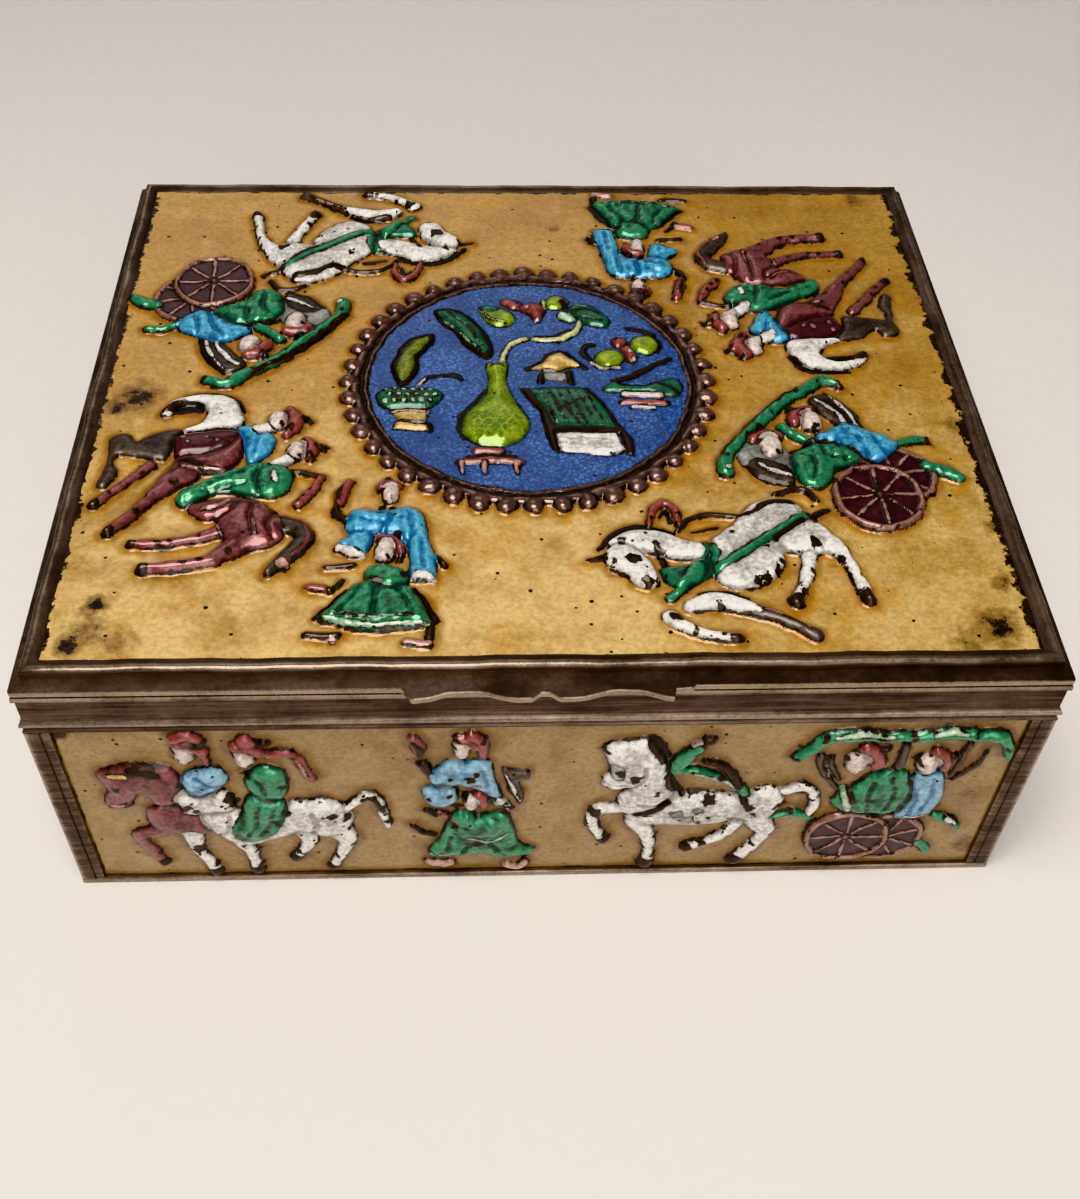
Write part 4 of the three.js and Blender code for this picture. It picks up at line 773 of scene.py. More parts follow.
def medallion():
    u, v = MEDALLION_AT
    forms = [
        patch(circle(u, v, MEDALLION_RADIUS + 1.2), 0.25, "black", 0.5),
        patch(circle(u, v, MEDALLION_RADIUS), 0.12, "cobalt", 0.5),
        rim(u, v, MEDALLION_RADIUS + 0.55, 0.5, 0.55, "copper"),
        rim(u, v, MEDALLION_RADIUS + 2.3, 1.4, 0.6, "bead"),
    ]
    for n in range(BEADS):
        angle = 2 * math.pi * n / BEADS
        radius = BEAD_RADIUS * (1 + 0.08 * math.sin(5.3 * n))
        bead_u = u + BEAD_RING * math.cos(angle)
        bead_v = v + BEAD_RING * math.sin(angle)
        forms.append(dome(bead_u, bead_v, radius, 1.05, "bead"))
    return [*forms, *plants(), *vase(), *bowl(), *desk()]


def lid_forms():
    half = [*lid_horse(), *lid_cart(), *lid_riders(), *lid_walkers()]
    turned_at = (2 * PROCESSION_CENTRE[0], 2 * PROCESSION_CENTRE[1])
    return [*half, *place(half, turned_at, 180), *medallion()]


def front_forms():
    return [*front_horse(), *front_cart(), *front_riders(), *front_walkers()]


def back_forms():
    return place([*front_horse(), *front_cart()], (-29, 0))


def side_forms():
    return [*place(front_horse(), (-26, 0)), *place(front_walkers(), (29.6, 0))]


# Height and colour fields of a pressed plate

def shape_fields(form, u, v):
    """How far inside the form's outline each point is, and the form's bulge there from 0 to 1."""
    points = form["points"]
    radii = form["radii"]
    if form["kind"] == "rim":
        radius, width = radii
        gap = np.abs(np.hypot(u - points[0][0], v - points[0][1]) - radius + width / 2)
        return width / 2 - gap, np.clip(1 - (2 * gap / width) ** 2, 0, 1) ** BULGE_POWER
    if form["kind"] == "bar":
        inside = np.full_like(u, -1e3)
        ratio = np.full_like(u, 1e3)
        for a, b, radius_a, radius_b in zip(points, points[1:], radii, radii[1:]):
            share, gap = segment_gap(a, b, u, v)
            radius = np.maximum(radius_a + share * (radius_b - radius_a), LEAST_RADIUS)
            inside = np.maximum(inside, radius - gap)
            ratio = np.minimum(ratio, gap / radius)
        return inside, np.clip(1 - ratio ** 2, 0, 1) ** BULGE_POWER
    nearest = np.full_like(u, 1e3)
    within = np.zeros(u.shape, dtype=bool)
    for a, b in zip(points, points[1:] + points[:1]):
        nearest = np.minimum(nearest, segment_gap(a, b, u, v)[1])
        if a[1] != b[1]:
            crossing = a[0] + (v - a[1]) * (b[0] - a[0]) / (b[1] - a[1])
            within ^= ((a[1] > v) != (b[1] > v)) & (u < crossing)
    inside = np.where(within, nearest, -nearest)
    edge = np.clip(inside / radii[0], 0, 1)
    return inside, (1 - (1 - edge) ** 2) ** BULGE_POWER


def segment_gap(a, b, u, v):
    """Share of the way along a segment, and distance from it, of the nearest point to each place."""
    du = b[0] - a[0]
    dv = b[1] - a[1]
    span = max(du * du + dv * dv, 1e-12)
    share = np.clip(((u - a[0]) * du + (v - a[1]) * dv) / span, 0, 1)
    return share, np.hypot(u - a[0] - share * du, v - a[1] - share * dv)


def blurred(values, reach):
    """The mean over a square window that reaches so many points each way."""
    for axis in (0, 1):
        edges = [(0, 0), (0, 0)]
        edges[axis] = (reach + 1, reach)
        total = np.cumsum(np.pad(values, edges, mode="edge"), axis=axis)
        count = total.shape[axis]
        width = 2 * reach + 1
        high = np.take(total, range(width, count), axis=axis)
        values = (high - np.take(total, range(count - width), axis=axis)) / width
    return values


def waves(u, v, seed, size):
    """A smooth repeatable wobble of about unit height."""
    total = np.zeros_like(u)
    rng = np.random.default_rng(seed)
    for _ in range(7):
        angle = rng.uniform(0, 2 * math.pi)
        pitch = 2 * math.pi / (size * rng.uniform(0.6, 1.7))
        total += np.sin(pitch * (u * math.cos(angle) + v * math.sin(angle)) + rng.uniform(0, 6.3))
    return total / 3.0


def melt(a, b, reach):
    """The larger of two fields, with a soft join of the given reach where they are close."""
    joined = np.maximum(a, b)
    if reach > 0:
        joined += np.maximum(reach - np.abs(a - b), 0) ** 2 / (4 * reach)
    return joined


def plate_fields(u, v, forms, seed):
    """Height of the pressed sheet, and for each paint how far inside its zone each point is."""
    height = np.zeros_like(u)
    fields = {name: np.full_like(u, -FIELD_REACH) for name in PAINTS}
    fields["ground"][:] = FIELD_REACH
    step_u = u[0, 1] - u[0, 0]
    step_v = v[1, 0] - v[0, 0]
    warped_u = u
    warped_v = v
    for size, length, order in OUTLINE_WAVES:
        warped_u = warped_u + size * waves(u, v, seed + order, length)
        warped_v = warped_v + size * waves(u, v, seed + order + 1, length)
    folds = waves(u, v, seed + 6, FOLD_LENGTH)
    tears = waves(u, v, seed + 7, TEAR_LENGTH)
    for form in forms:
        margin = max(form["radii"]) + FIELD_REACH
        low_u = min(p[0] for p in form["points"]) - margin
        high_u = max(p[0] for p in form["points"]) + margin
        low_v = min(p[1] for p in form["points"]) - margin
        high_v = max(p[1] for p in form["points"]) + margin
        i0 = max(0, int((low_v - v[0, 0]) / step_v))
        i1 = min(u.shape[0], int((high_v - v[0, 0]) / step_v) + 2)
        j0 = max(0, int((low_u - u[0, 0]) / step_u))
        j1 = min(u.shape[1], int((high_u - u[0, 0]) / step_u) + 2)
        if i0 >= i1 or j0 >= j1:
            continue
        window = (slice(i0, i1), slice(j0, j1))
        inside, bulge = shape_fields(form, warped_u[window], warped_v[window])
        swell = RELIEF * form["rise"] * bulge
        if form["over"]:
            height[window] += swell
        elif form["fresh"]:
            height[window] = np.where(inside > 0, swell, height[window])
        else:
            height[window] = np.where(bulge > 0, melt(height[window], swell, HEIGHT_MELT), height[window])
        if form["paint"] is None:
            continue
        if form["paint"] in CLOTH and not form["over"]:
            height[window] += FOLD_HEIGHT * np.sqrt(bulge) * folds[window]
        if form["torn"]:
            inside = inside + min(TEAR_MOST, TEAR_SHARE * form["radii"][0]) * tears[window]
        inside = np.clip(inside, -FIELD_REACH, FIELD_REACH)
        for name in PAINTS:
            field = fields[name][window]
            if name == form["paint"]:
                field[:] = melt(field, inside, 0.0 if form["over"] else PAINT_MELT)
            else:
                np.minimum(field, -inside, out=field)
    foot = np.clip(1 - fields["ground"] / FILLET_REACH, 0, 1) ** 2
    height += FILLET * foot
    height += sum(size * waves(u, v, seed + order, length) for size, length, order in SHEET_WAVES)
    return height, fields


def split_cells(height, fields):
    """Square cells of one, two or four lattice steps: small at colour edges, large on plain ground."""
    stack = np.stack([fields[name] for name in PAINTS])
    order = np.sort(stack, axis=0)
    near_edge = (order[-1] - order[-2]) < EDGE_NEAR
    curved = np.zeros_like(near_edge)
    bend = np.abs(4 * height[1:-1, 1:-1] - height[:-2, 1:-1] - height[2:, 1:-1]
                  - height[1:-1, :-2] - height[1:-1, 2:])
    curved[1:-1, 1:-1] = bend > BEND_LEAST
    fine_points = near_edge | curved
    fine = fine_points[:-1, :-1] | fine_points[1:, :-1] | fine_points[:-1, 1:] | fine_points[1:, 1:]
    high = height[:-1, :-1] > RAISED_LEAST
    rows, columns = fine.shape
    cells = []
    for i in range(0, rows, 4):
        for j in range(0, columns, 4):
            if not (fine[i:i + 4, j:j + 4].any() or high[i:i + 4, j:j + 4].any()):
                cells.append((i, j, 4))
                continue
            for a in (i, i + 2):
                for b in (j, j + 2):
                    if not fine[a:a + 2, b:b + 2].any():
                        cells.append((a, b, 2))
                        continue
                    cells += [(a, b, 1), (a, b + 1, 1), (a + 1, b, 1), (a + 1, b + 1, 1)]
    return cells


def pressed_plate(name, span_u, span_v, step, forms, to_row, seed, ragged, stains):
    """A closed plate with its raised work, as a mesh that carries one field per paint.

    ragged gives the width of lost enamel along the left, right, low and high edge,
    and each stain is its place, radius and depth.
    """
    count_u = 4 * math.ceil((span_u[1] - span_u[0]) / step / 4)
    count_v = 4 * math.ceil((span_v[1] - span_v[0]) / step / 4)
    u, v = np.meshgrid(np.linspace(*span_u, count_u + 1), np.linspace(*span_v, count_v + 1))
    height, fields = plate_fields(u, v, forms, seed)
    sides = [u - span_u[0], span_u[1] - u, v - span_v[0], span_v[1] - v]
    edge = np.minimum.reduce(sides)
    height = np.where(edge < FLAT_BORDER, np.minimum(height, 0.0), height)
    cells = split_cells(height, fields)
    used = np.zeros(u.shape, dtype=bool)
    for i, j, k in cells:
        used[i, j] = True
        used[i + k, j] = True
        used[i, j + k] = True
        used[i + k, j + k] = True
    index = np.full(u.shape, -1)
    index[used] = np.arange(used.sum())
    faces = []
    for i, j, k in cells:
        loop = [(i, j + s) for s in range(k)]
        loop += [(i + s, j + k) for s in range(k)]
        loop += [(i + k, j + k - s) for s in range(k)]
        loop += [(i + k - s, j) for s in range(k)]
        faces.append([int(index[p]) for p in loop if index[p] >= 0])
    border = [(0, j) for j in range(count_u)]
    border += [(i, count_u) for i in range(count_v)]
    border += [(count_v, j) for j in range(count_u, 0, -1)]
    border += [(i, 0) for i in range(count_v, 0, -1)]
    border = [p for p in border if index[p] >= 0]
    top = np.stack([u[used], v[used], height[used]], axis=1)
    under = np.array([(u[p], v[p], -PANEL) for p in border])
    first = len(top)
    for n, p in enumerate(border):
        m = (n + 1) % len(border)
        faces.append([int(index[border[m]]), int(index[p]), first + n, first + m])
    faces.append([first + n for n in range(len(border) - 1, -1, -1)])
    local = np.concatenate([top, under])
    mesh = bpy.data.meshes.new(name)
    mesh.from_pydata([tuple(MM * c for c in to_row(*p)) for p in local], [], faces)
    values = np.full((len(local), 3 * PAINT_GROUPS), -FIELD_REACH)
    values[first:, 0] = FIELD_REACH
    for n, paint in enumerate(PAINTS):
        values[:first, n] = fields[paint][used]
    for group in range(PAINT_GROUPS):
        attribute = mesh.attributes.new(f"paint_{group}", "FLOAT_VECTOR", "POINT")
        attribute.data.foreach_set("vector", values[:, 3 * group:3 * group + 3].astype(np.float32).ravel())
    margin = np.minimum.reduce([gap / width for gap, width in zip(sides, ragged)])
    spoiled = np.zeros_like(u)
    for at_u, at_v, radius, depth in stains:
        spoiled = np.maximum(spoiled, depth * np.exp(-((u - at_u) ** 2 + (v - at_v) ** 2) / radius ** 2))
    # Height over the local mean; the shader uses it for painted light on crests and painted shade in hollows
    crest = np.clip((height - blurred(height, round(CREST_REACH / step))) / CREST_HEIGHT, -1, 1)
    for label, field in (("crest", crest), ("margin", margin), ("stain", spoiled)):
        store(mesh, label, np.concatenate([field[used], np.zeros(len(under))]))
    mesh.polygons.foreach_set("use_smooth", np.ones(len(mesh.polygons), dtype=bool))
    return link(name, mesh)


def store(mesh, name, values):
    attribute = mesh.attributes.new(name, "FLOAT", "POINT")
    attribute.data.foreach_set("value", np.asarray(values, dtype=np.float32))


def link(name, mesh):
    mesh.validate()
    obj = bpy.data.objects.new(name, mesh)
    bpy.context.scene.collection.objects.link(obj)
    return obj


# Metalwork

def bands(rings, count, closed=False):
    """Four-cornered faces between neighbouring rings of points; closed joins the last to the first."""
    faces = []
    for r in range(rings if closed else rings - 1):
        q = (r + 1) % rings
        for n in range(count):
            m = (n + 1) % count
            faces.append([r * count + n, q * count + n, q * count + m, r * count + m])
    return faces


def turned(faces):
    """The same faces seen from their other side."""
    return [[face[0], *face[:0:-1]] for face in faces]


class Metal:
    """Collects closed shells in millimetres, with a wear value from 0 to 1 at each point."""

    def __init__(self):
        self.points = []
        self.wear = []
        self.faces = []

    def add(self, points, faces, wear):
        first = len(self.points)
        self.points += points
        self.wear += wear
        self.faces += [[first + n for n in face] for face in faces]

    def sweep(self, profile, path, closed):
        """Carries a closed profile (out, z, wear) along plan points with mitred corners."""
        count = len(profile)
        points = []
        wear = []
        for position, normal in path:
            for out, z, rub in profile:
                points.append((position[0] + normal[0] * out, position[1] + normal[1] * out, z))
                wear.append(rub)
        faces = bands(len(path), count, closed)
        if not closed:
            faces.append(list(range(count - 1, -1, -1)))
            faces.append([(len(path) - 1) * count + n for n in range(count)])
        self.add(points, faces, wear)

    def slab(self, outline, z0, z1, bevel, wear):
        """An upright slab over a plan outline, with small bevels at top and bottom."""
        inset = offset_outline(outline, -bevel)
        layers = [(inset, z0), (outline, z0 + bevel), (outline, z1 - bevel), (inset, z1)]
        count = len(outline)
        points = [(x, y, z) for ring, z in layers for x, y in ring]
        faces = [list(range(count - 1, -1, -1)), [3 * count + n for n in range(count)]]
        faces += turned(bands(len(layers), count))
        self.add(points, faces, [wear] * count + [1.0] * (2 * count) + [wear] * count)

    def build(self, name, smooth_angle=35.0):
        mesh = bpy.data.meshes.new(name)
        mesh.from_pydata([(MM * x, MM * y, MM * z) for x, y, z in self.points], [], self.faces)
        store(mesh, "wear", self.wear)
        mesh.polygons.foreach_set("use_smooth", np.ones(len(mesh.polygons), dtype=bool))
        mesh.set_sharp_from_angle(angle=math.radians(smooth_angle))
        return link(name, mesh)


def offset_outline(outline, distance):
    """Moves each corner of an anticlockwise outline outwards by a distance."""
    moved = []
    count = len(outline)
    for n in range(count):
        before = Vector(outline[n - 1])
        here = Vector(outline[n])
        after = Vector(outline[(n + 1) % count])
        a = (here - before).normalized()
        b = (after - here).normalized()
        normal = Vector((a.y + b.y, -a.x - b.x))
        scale = max(0.4, normal.length_squared / 2)
        corner = here + normal / scale * distance
        moved.append((corner.x, corner.y))
    return moved


def rectangle_path(half_x, half_y, shift_y, steps):
    """Plan points round a rectangle, each with its outward normal; the corners have mitre normals."""
    corners = [(-1, -1), (1, -1), (1, 1), (-1, 1)]
    path = []
    for n, (sx, sy) in enumerate(corners):
        tx, ty = corners[(n + 1) % 4]
        side = (ty - sy, sx - tx)
        length = math.hypot(*side)
        side = (side[0] / length, side[1] / length)
        for s in range(steps):
            t = s / steps
            x = half_x * (sx + (tx - sx) * t)
            y = half_y * (sy + (ty - sy) * t) + shift_y
            normal = (sx, sy) if s == 0 else side
            path.append(((x, y), normal))
    return path


def case_piece():
    metal = Metal()
    x = WIDTH / 2
    y = DEPTH / 2
    ring = rectangle_path(x, y, 0, 1)
    wall = [(-WALL_IN, 0.0, 0.1), (-WALL_OUT, 0.0, 0.1), (-WALL_OUT, 31.4, 0.1), (-WALL_IN, 31.4, 0.2)]
    metal.sweep(wall, ring, True)
    bottom_rail = [(-WALL_OUT + 0.02, 0.0, 0.2), (-0.12, 0.0, 0.5), (0.0, 0.12, 1.0), (0.0, 0.86, 0.8),
                   (-0.12, BOTTOM_RAIL, 0.6), (-LIP, BOTTOM_RAIL, 0.0), (-LIP, 0.35, 0.0),
                   (-WALL_OUT + 0.02, 0.35, 0.0)]
    metal.sweep(bottom_rail, ring, True)
    swells = [math.sin(math.pi * t / 8) for t in range(9)]
    ridge = [(-0.28 + 0.42 * swell, 33.28 - 1.28 * t / 8, 0.35 + 0.6 * swell)
             for t, swell in enumerate(swells)]
    low_rail = [(-WALL_IN, HINGE_REBATE, 0.1), *ridge, (-0.34, 31.88, 0.0), (-0.1, 31.72, 0.3),
                (0.0, 31.6, 0.5), (0.0, 31.42, 0.5), (-0.12, PANEL_TOP, 0.3), (-LIP, PANEL_TOP, 0.0),
                (-LIP, 31.9, 0.0), (-WALL_OUT, 31.9, 0.0), (-WALL_OUT, 31.4, 0.0), (-WALL_IN, 31.4, 0.1)]
    metal.sweep(low_rail, ring, True)
    top_rail = [(-WALL_IN, CASE_HEIGHT, 0.3), (-0.2, CASE_HEIGHT, 0.6), (-0.06, CASE_HEIGHT - 0.05, 1.0),
                (0.0, CASE_HEIGHT - 0.18, 1.0), (0.0, 36.75, 0.7), (-0.1, 36.6, 0.2), (-0.3, 36.5, 0.3),
                (-0.3, 33.5, 0.5), (-0.24, HINGE_REBATE + 0.02, 0.0), (-WALL_IN, HINGE_REBATE + 0.02, 0.1)]
    back_end = y - WALL_OUT
    open_path = [((-x, back_end), (-1, 0)), ((-x, -y), (-1, -1)), ((x, -y), (1, -1)), ((x, back_end), (1, 0))]
    metal.sweep(top_rail, open_path, False)
    inside = x - WALL_IN
    metal.slab(box_outline(-inside, inside, y - WALL_IN, back_end),
               HINGE_REBATE + 0.02, CASE_HEIGHT, 0.06, 0.2)
    floor_x = x - WALL_IN + 0.1
    floor_y = y - WALL_IN + 0.1
    metal.slab(box_outline(-floor_x, floor_x, -floor_y, floor_y), 0.0, FLOOR, 0.02, 0.15)
    for sx in (-1, 1):
        for sy in (-1, 1):
            metal.add(*corner_post(sx, sy))
    return metal.build("case_body")


def corner_post(sx, sy):
    """The two stiles that meet at one corner, with a groove and a rubbed outer edge."""
    x = WIDTH / 2
    y = DEPTH / 2
    side = [(0.14, 0.0, 1.0), (0.5, 0.0, 0.6), (1.55, -0.02, 0.35), (1.7, -0.2, 0.0), (1.85, -0.02, 0.5),
            (2.5, -0.05, 0.6), (2.72, -0.14, 0.7), (STILE, -0.3, 0.2), (STILE, -LIP, 0.0)]
    plan = [(x - s, y + out, rub) for s, out, rub in reversed(side)]
    plan += [(x - 0.04, y - 0.04, 1.0)]
    plan += [(x + out, y - s, rub) for s, out, rub in side]
    plan += [(x - WALL_OUT, y - STILE, 0.0), (x - WALL_OUT, y - WALL_OUT, 0.0),
             (x - STILE, y - WALL_OUT, 0.0)]
    count = len(plan)
    levels = [BOTTOM_RAIL - 0.02, 8.0, 16.0, 24.0, PANEL_TOP + 0.02]
    points = [(sx * px, sy * py, z) for z in levels for px, py, _ in plan]
    wear = [rub for _ in levels for _, _, rub in plan]
    faces = turned(bands(len(levels), count))
    faces.append(list(range(count)))
    faces.append([(len(levels) - 1) * count + n for n in range(count - 1, -1, -1)])
    if sx * sy > 0:
        faces = [face[::-1] for face in faces]
    return points, faces, wear


# The thumb tab's front edge: place along the front and reach beyond it
TAB_EDGE = [(-15.9, 0.0), (-14.5, 1.5), (-13.4, 1.35), (-10.4, 0.6), (-7.6, 0.55), (-3.4, 1.5),
            (-2.1, 1.5), (-0.9, 0.75), (-0.1, 0.75), (1.2, 1.5), (2.6, 1.5), (7.4, 0.5), (9.4, 0.6),
            (13.2, 1.6), (13.5, 0.45), (15.2, 0.3), (15.7, 0.0)]
TAB_STEPS = 5
CORNER = 0.35
CORNER_STEPS = 4

# Places along each side of the moulding
MOULDING_STEPS = 40


def eased(points, steps):
    """Points along a row of places, eased between each two so that the turns are round."""
    row = []
    for (x0, y0), (x1, y1) in zip(points, points[1:]):
        for k in range(steps):
            t = k / steps
            row.append((x0 + (x1 - x0) * t, y0 + (y1 - y0) * (3 * t * t - 2 * t ** 3)))
    return [*row, points[-1]]


def lid_outline():
    """The lid sheet in plan, anticlockwise, with the scalloped thumb tab in front."""
    x = WIDTH / 2
    y = DEPTH / 2
    corners = [(-x, -y, 180), (x, -y, 270), (x, y, 0), (-x, y, 90)]
    outline = []
    for cx, cy, start in corners:
        centre_x = cx - math.copysign(CORNER, cx)
        centre_y = cy - math.copysign(CORNER, cy)
        for k in range(CORNER_STEPS):
            angle = math.radians(start + 90 * k / (CORNER_STEPS - 1))
            outline.append((centre_x + CORNER * math.cos(angle), centre_y + CORNER * math.sin(angle)))
        if start == 180:
            outline += [(tab_x, -y - reach) for tab_x, reach in eased(TAB_EDGE, TAB_STEPS)]
    return outline


def lid_frame_piece():
    """The flat sheet, and the moulding on it with a slight hand-made wave between its corners."""
    metal = Metal()
    # The sheet's wear of 0.5 lightens its flat top: rubbed brass, and partly a painted reflection of the
    # light
    metal.slab(lid_outline(), LID_LOW, LID_TOP, 0.12, 0.5)
    top = LID_TOP + MOULDING_HEIGHT
    bead = [(-0.05, LID_TOP - 0.05, 0.0), (0.0, LID_TOP + 0.35, 0.0)]
    # The bead's wear rises toward its top, which shows lighter: rubbed brass, and partly a painted highlight
    for k in range(6):
        angle = math.radians(20 * k)
        bead.append((-0.55 + 0.6 * math.cos(angle), top - 0.6 + 0.6 * math.sin(angle),
                     0.1 + 0.75 * math.sin(angle)))
    bead += [(-1.15, top - 0.12, 0.35), (-1.6, top - 0.26, 0.2), (-1.9, LID_GROUND - 0.05, 0.0),
             (-MOULDING_WIDTH, LID_GROUND - 0.4, 0.0), (-MOULDING_WIDTH, LID_TOP - 0.05, 0.0)]
    path = rectangle_path(MOULDING_HALF_X, MOULDING_HALF_Y, MOULDING_SHIFT, MOULDING_STEPS)
    waved = []
    for n, ((px, py), normal) in enumerate(path):
        shift = 0.07 * math.sin(0.9 * n) + 0.05 * math.sin(2.3 * n + 1)
        shift = 0.0 if n % MOULDING_STEPS == 0 else shift
        waved.append(((px + normal[0] * shift, py + normal[1] * shift), normal))
    metal.sweep(bead, waved, True)
    return metal.build("lid_sheet")


ROD_SIDES = 28
LEAF_TOP = 36.85
LEAF_BEVEL = 0.05
BORE = PIN + 0.06


def rod(metal, x0, x1, radius, wear, bore=0.0):
    """A round bar or tube along X about the hinge axis, with eased ends."""
    sides = ROD_SIDES
    ease = min(0.15, radius * 0.25)
    rings = [(x0, radius - ease), (x0 + ease, radius), (x1 - ease, radius), (x1, radius - ease)]
    if bore:
        rings += [(x1, bore), (x0, bore)]
    points = []
    for px, r in rings:
        for k in range(sides):
            angle = 2 * math.pi * k / sides
            points.append((px, AXIS_Y + r * math.cos(angle), AXIS_Z + r * math.sin(angle)))
    faces = bands(len(rings), sides, closed=bore > 0)
    if not bore:
        faces.append(list(range(sides)))
        faces.append([(len(rings) - 1) * sides + k for k in range(sides - 1, -1, -1)])
    metal.add(points, faces, [wear] * len(points))


def box_outline(x0, x1, y0, y1):
    return [(x0, y0), (x1, y0), (x1, y1), (x0, y1)]


def knuckle_range(index):
    step = 2 * HINGE_HALF / KNUCKLES
    x0 = -HINGE_HALF + index * step
    return x0 + KNUCKLE_GAP / 2, x0 + step - KNUCKLE_GAP / 2


def hinge_pieces():
    face = DEPTH / 2 - WALL_OUT + 0.05
    base = Metal()
    base.slab(box_outline(-HINGE_HALF, HINGE_HALF, face, face + LEAF),
              HINGE_REBATE + 0.1, LEAF_TOP, LEAF_BEVEL, 0.5)
    lid = Metal()
    top = LID_LOW - 0.03
    outside = AXIS_Y + BARREL
    lid.slab(box_outline(-HINGE_HALF, HINGE_HALF, AXIS_Y - 1.6, outside), top - LEAF, top, LEAF_BEVEL, 0.5)
    lid.slab(box_outline(-HINGE_HALF, HINGE_HALF, outside - 0.7, outside),
             AXIS_Z + BARREL + 0.2, top - 0.1, LEAF_BEVEL, 0.6)
    for n in range(KNUCKLES):
        x0, x1 = knuckle_range(n)
        if n % 2 == 0:
            rod(base, x0, x1, BARREL, 0.7, BORE)
            base.slab(box_outline(x0, x1, face + LEAF - 0.05, AXIS_Y - PIN - 0.2),
                      AXIS_Z - BARREL, AXIS_Z - 0.7, LEAF_BEVEL, 0.4)
        else:
            rod(lid, x0, x1, BARREL, 0.7, BORE)
            lid.slab(box_outline(x0, x1, outside - 0.45, outside),
                     AXIS_Z, AXIS_Z + BARREL + 0.3, LEAF_BEVEL, 0.5)
    pin = Metal()
    rod(pin, PIN_LEFT, PIN_RIGHT, PIN, 0.8)
    return base.build("hinge_leaf_base"), lid.build("hinge_leaf_lid"), pin.build("hinge_rod")


# Materials

class Shader:
    """Short helpers for building one material's nodes."""

    def __init__(self, name):
        self.material = bpy.data.materials.new(name)
        self.material.use_nodes = True
        self.tree = self.material.node_tree
        self.bsdf = self.tree.nodes["Principled BSDF"]
        self.place = self.node("ShaderNodeTexCoord").outputs["Object"]

    def node(self, kind, inputs=None, **settings):
        made = self.tree.nodes.new(kind)
        for key, value in settings.items():
            setattr(made, key, value)
        for key, value in (inputs or {}).items():
            self.feed(made.inputs[key], value)
        return made

    def feed(self, socket, value):
        if isinstance(value, bpy.types.NodeSocket):
            self.tree.links.new(value, socket)
        else:
            socket.default_value = value

    def math(self, operation, a, b=0.0, c=0.0):
        return self.node("ShaderNodeMath", {0: a, 1: b, 2: c}, operation=operation).outputs[0]

    def ramp(self, value, low, high, a=0.0, b=1.0):
        """A smooth step of a value from a to b between two limits."""
        made = self.node("ShaderNodeMapRange", {"Value": value, "From Min": low, "From Max": high,
                                                "To Min": a, "To Max": b}, interpolation_type="SMOOTHSTEP")
        return made.outputs[0]

    def mix(self, factor, a, b):
        made = self.node("ShaderNodeMix", {0: factor, 6: a, 7: b}, data_type="RGBA")
        return made.outputs[2]

    def tint(self, factor, colour, by):
        """Multiplies a colour by another, as far as the factor says."""
        made = self.node("ShaderNodeMix", {0: factor, 6: colour, 7: by},
                         data_type="RGBA", blend_type="MULTIPLY")
        return made.outputs[2]

    def blend(self, factor, a, b):
        return self.node("ShaderNodeMix", {0: factor, 2: a, 3: b}, data_type="FLOAT").outputs[0]

    def noise(self, size_mm, detail=3.0, roughness=0.55, stretch=None):
        vector = self.place
        if stretch:
            vector = self.node("ShaderNodeMapping", {"Vector": self.place, "Scale": stretch}).outputs[0]
        made = self.node("ShaderNodeTexNoise", {"Vector": vector, "Scale": 1.0 / (size_mm * MM),
                                                "Detail": detail, "Roughness": roughness})
        return made.outputs["Fac"]

    def attribute(self, name, output="Fac"):
        return self.node("ShaderNodeAttribute", attribute_name=name).outputs[output]

    def bump(self, height, distance_mm, strength=1.0, normal=None):
        inputs = {"Height": height, "Distance": distance_mm * MM, "Strength": strength}
        if normal is not None:
            inputs["Normal"] = normal
        return self.node("ShaderNodeBump", inputs).outputs[0]


def rgb(r, g, b):
    return (r, g, b, 1.0)
